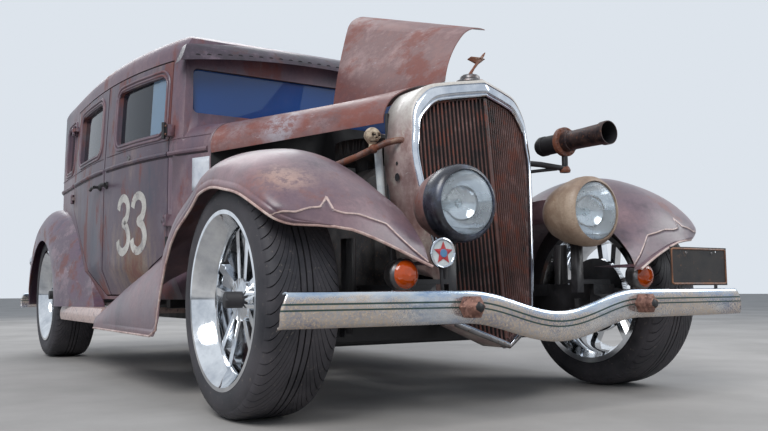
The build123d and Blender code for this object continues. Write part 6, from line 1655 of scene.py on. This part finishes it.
print("seats")
seats = {
    # low and high corner, most that a point may travel, pitch of the channels, way that their face looks
    "frontCushion": ((-0.535, 0.105, 0.474), (0.535, 0.545, 0.612), 0.022, 0.095, (0, 0, 1)),
    "frontBack": ((-0.535, 0.556, 0.60), (0.535, 0.634, 1.000), 0.022, 0.095, (0, -1, 0)),
    "rearCushion": ((-0.560, 0.825, 0.564), (0.560, 1.255, 0.692), 0.022, 0.095, (0, 0, 1)),
    "rearBack": ((-0.560, 1.266, 0.68), (0.560, 1.344, 1.050), 0.022, 0.095, (0, -1, 0)),
}
padding = {"voxel": 0.013, "inset": 0.014, "pressure": 4, "frames": 20, "groove": 0.007,
           "grooveHalf": 0.008}


def pad(name, low, high, most, pitch, face):
    inset = padding["inset"]
    slabLow = [low[k] + inset * (k != 2) for k in range(3)]
    slabHigh = [high[k] - inset for k in range(3)]
    piece = slab(name, slabLow, slabHigh, plains["leather"], 0.022, 3)
    even = piece.modifiers.new("even", "REMESH")
    even.mode, even.voxel_size = "VOXEL", padding["voxel"]
    applied(piece)
    start = [v.co.copy() for v in piece.data.vertices]
    cloth = piece.modifiers.new("blown", "CLOTH")
    cloth.settings.use_pressure = True
    cloth.settings.uniform_pressure_force = padding["pressure"]
    cloth.settings.effector_weights.gravity = 0
    applied(piece, padding["frames"])
    for v, origin in zip(piece.data.vertices, start):
        moved = v.co - origin
        if moved.length > most:
            moved *= most / moved.length
        v.co = origin + moved
        v.co.z = max(v.co.z, low[2])
    smoothing = piece.modifiers.new("finer", "SUBSURF")
    smoothing.levels = smoothing.render_levels = 1
    applied(piece)
    way = Vector(face)
    normals = [v.normal.copy() for v in piece.data.vertices]
    for v, normal in zip(piece.data.vertices, normals):
        toward = max(0.0, normal.dot(way))
        near = abs((v.co.x / pitch) % 1 - 0.5) * pitch
        inside = min(v.co.x - low[0], high[0] - v.co.x)
        if inside > 0.04:
            v.co -= way * (padding["groove"] * toward * math.exp(-(near / padding["grooveHalf"]) ** 2))
        v.co -= way * (0.004 * toward * (1 - min(1.0, max(0.0, inside - 0.02) / 0.03)))
        for k in range(3):
            v.co[k] = min(max(v.co[k], low[k] - 0.008 * (k != 2)), high[k] + 0.008)
    piece.data.shade_smooth()
    return piece


for group, names in (("front", ("frontCushion", "frontBack")), ("rear", ("rearCushion", "rearBack"))):
    node = group + "_seat"
    base = refined(node, group + "SeatBase", [plains["leather"]], "chassis", "seat_leather")
    floorZ = seats[group + "Cushion"][0][2] - 0.002
    rest = bmesh.new()
    rest.from_mesh(base.data)
    bmesh.ops.delete(rest, geom=[f for f in rest.faces if f.calc_center_median().z > floorZ],
                     context="FACES")
    rest.to_mesh(base.data)
    rest.free()
    for name in names:
        piece = pad(name, *seats[name])
        carry(piece, "chassis", "seat_leather", node)

# Gauges and the plate's border

print("gauges and plate border")
gauge = {
    "y": -0.3395, "z": 1.03, "needleY": -0.3372, "needle": 0.0012,
    # place across the dashboard and radius
    "dials": [(0.24, 0.042), (0.35, 0.052), (0.46, 0.042), (0.14, 0.026), (0.56, 0.026)], "closer": 0.98,
}
pieces = []
for place, radius in gauge["dials"]:
    x = place * gauge["closer"]
    profile = [(-0.002, 0.0), (-0.002, radius), (0.004, radius), (0.007, radius * 0.95),
               (0.004, radius * 0.86), (0.0015, radius * 0.84), (0.0015, 0.0)]
    pieces.append(spun("gauge", profile, (x, gauge["y"], gauge["z"]), (0, 1, 0),
                       [metals["chrome"], plains["dial"]], 32, [0, 0, 0, 0, 0, 1]))
    hand = [(x, gauge["needleY"], gauge["z"]),
            (x + radius * 0.5, gauge["needleY"], gauge["z"] + radius * 0.5)]
    pieces.append(rods("needle", [hand], gauge["needle"], plains["badgeRed"], 6))
carry(joined("gauges", pieces), "chassis", "dash_black")

plate = {
    "corners": [(0.526, 0.376), (0.807, 0.376), (0.807, 0.491), (0.526, 0.491)], "y": -1.9732,
    "border": 0.0032, "bolts": [(0.60, -1.9728, 0.478), (0.733, -1.9728, 0.478)],
}
border = []
for k in range(4):
    (xa, za), (xb, zb) = plate["corners"][k], plate["corners"][(k + 1) % 4]
    border += [(xa + (xb - xa) * q, plate["y"], za + (zb - za) * q) for q in (0.03, 0.97)]
rim = rods("plateBorder", [border + border[:1]], plate["border"], plains["plateEdge"], 8)
bolts = [screw("plateBolt", spot, (0, -1, 0), 0.005, metals["steel"]) for spot in plate["bolts"]]
carry(joined("plateTrim", [rim] + bolts), "chassis", "plate_black")

bpy.data.scenes.remove(bench)
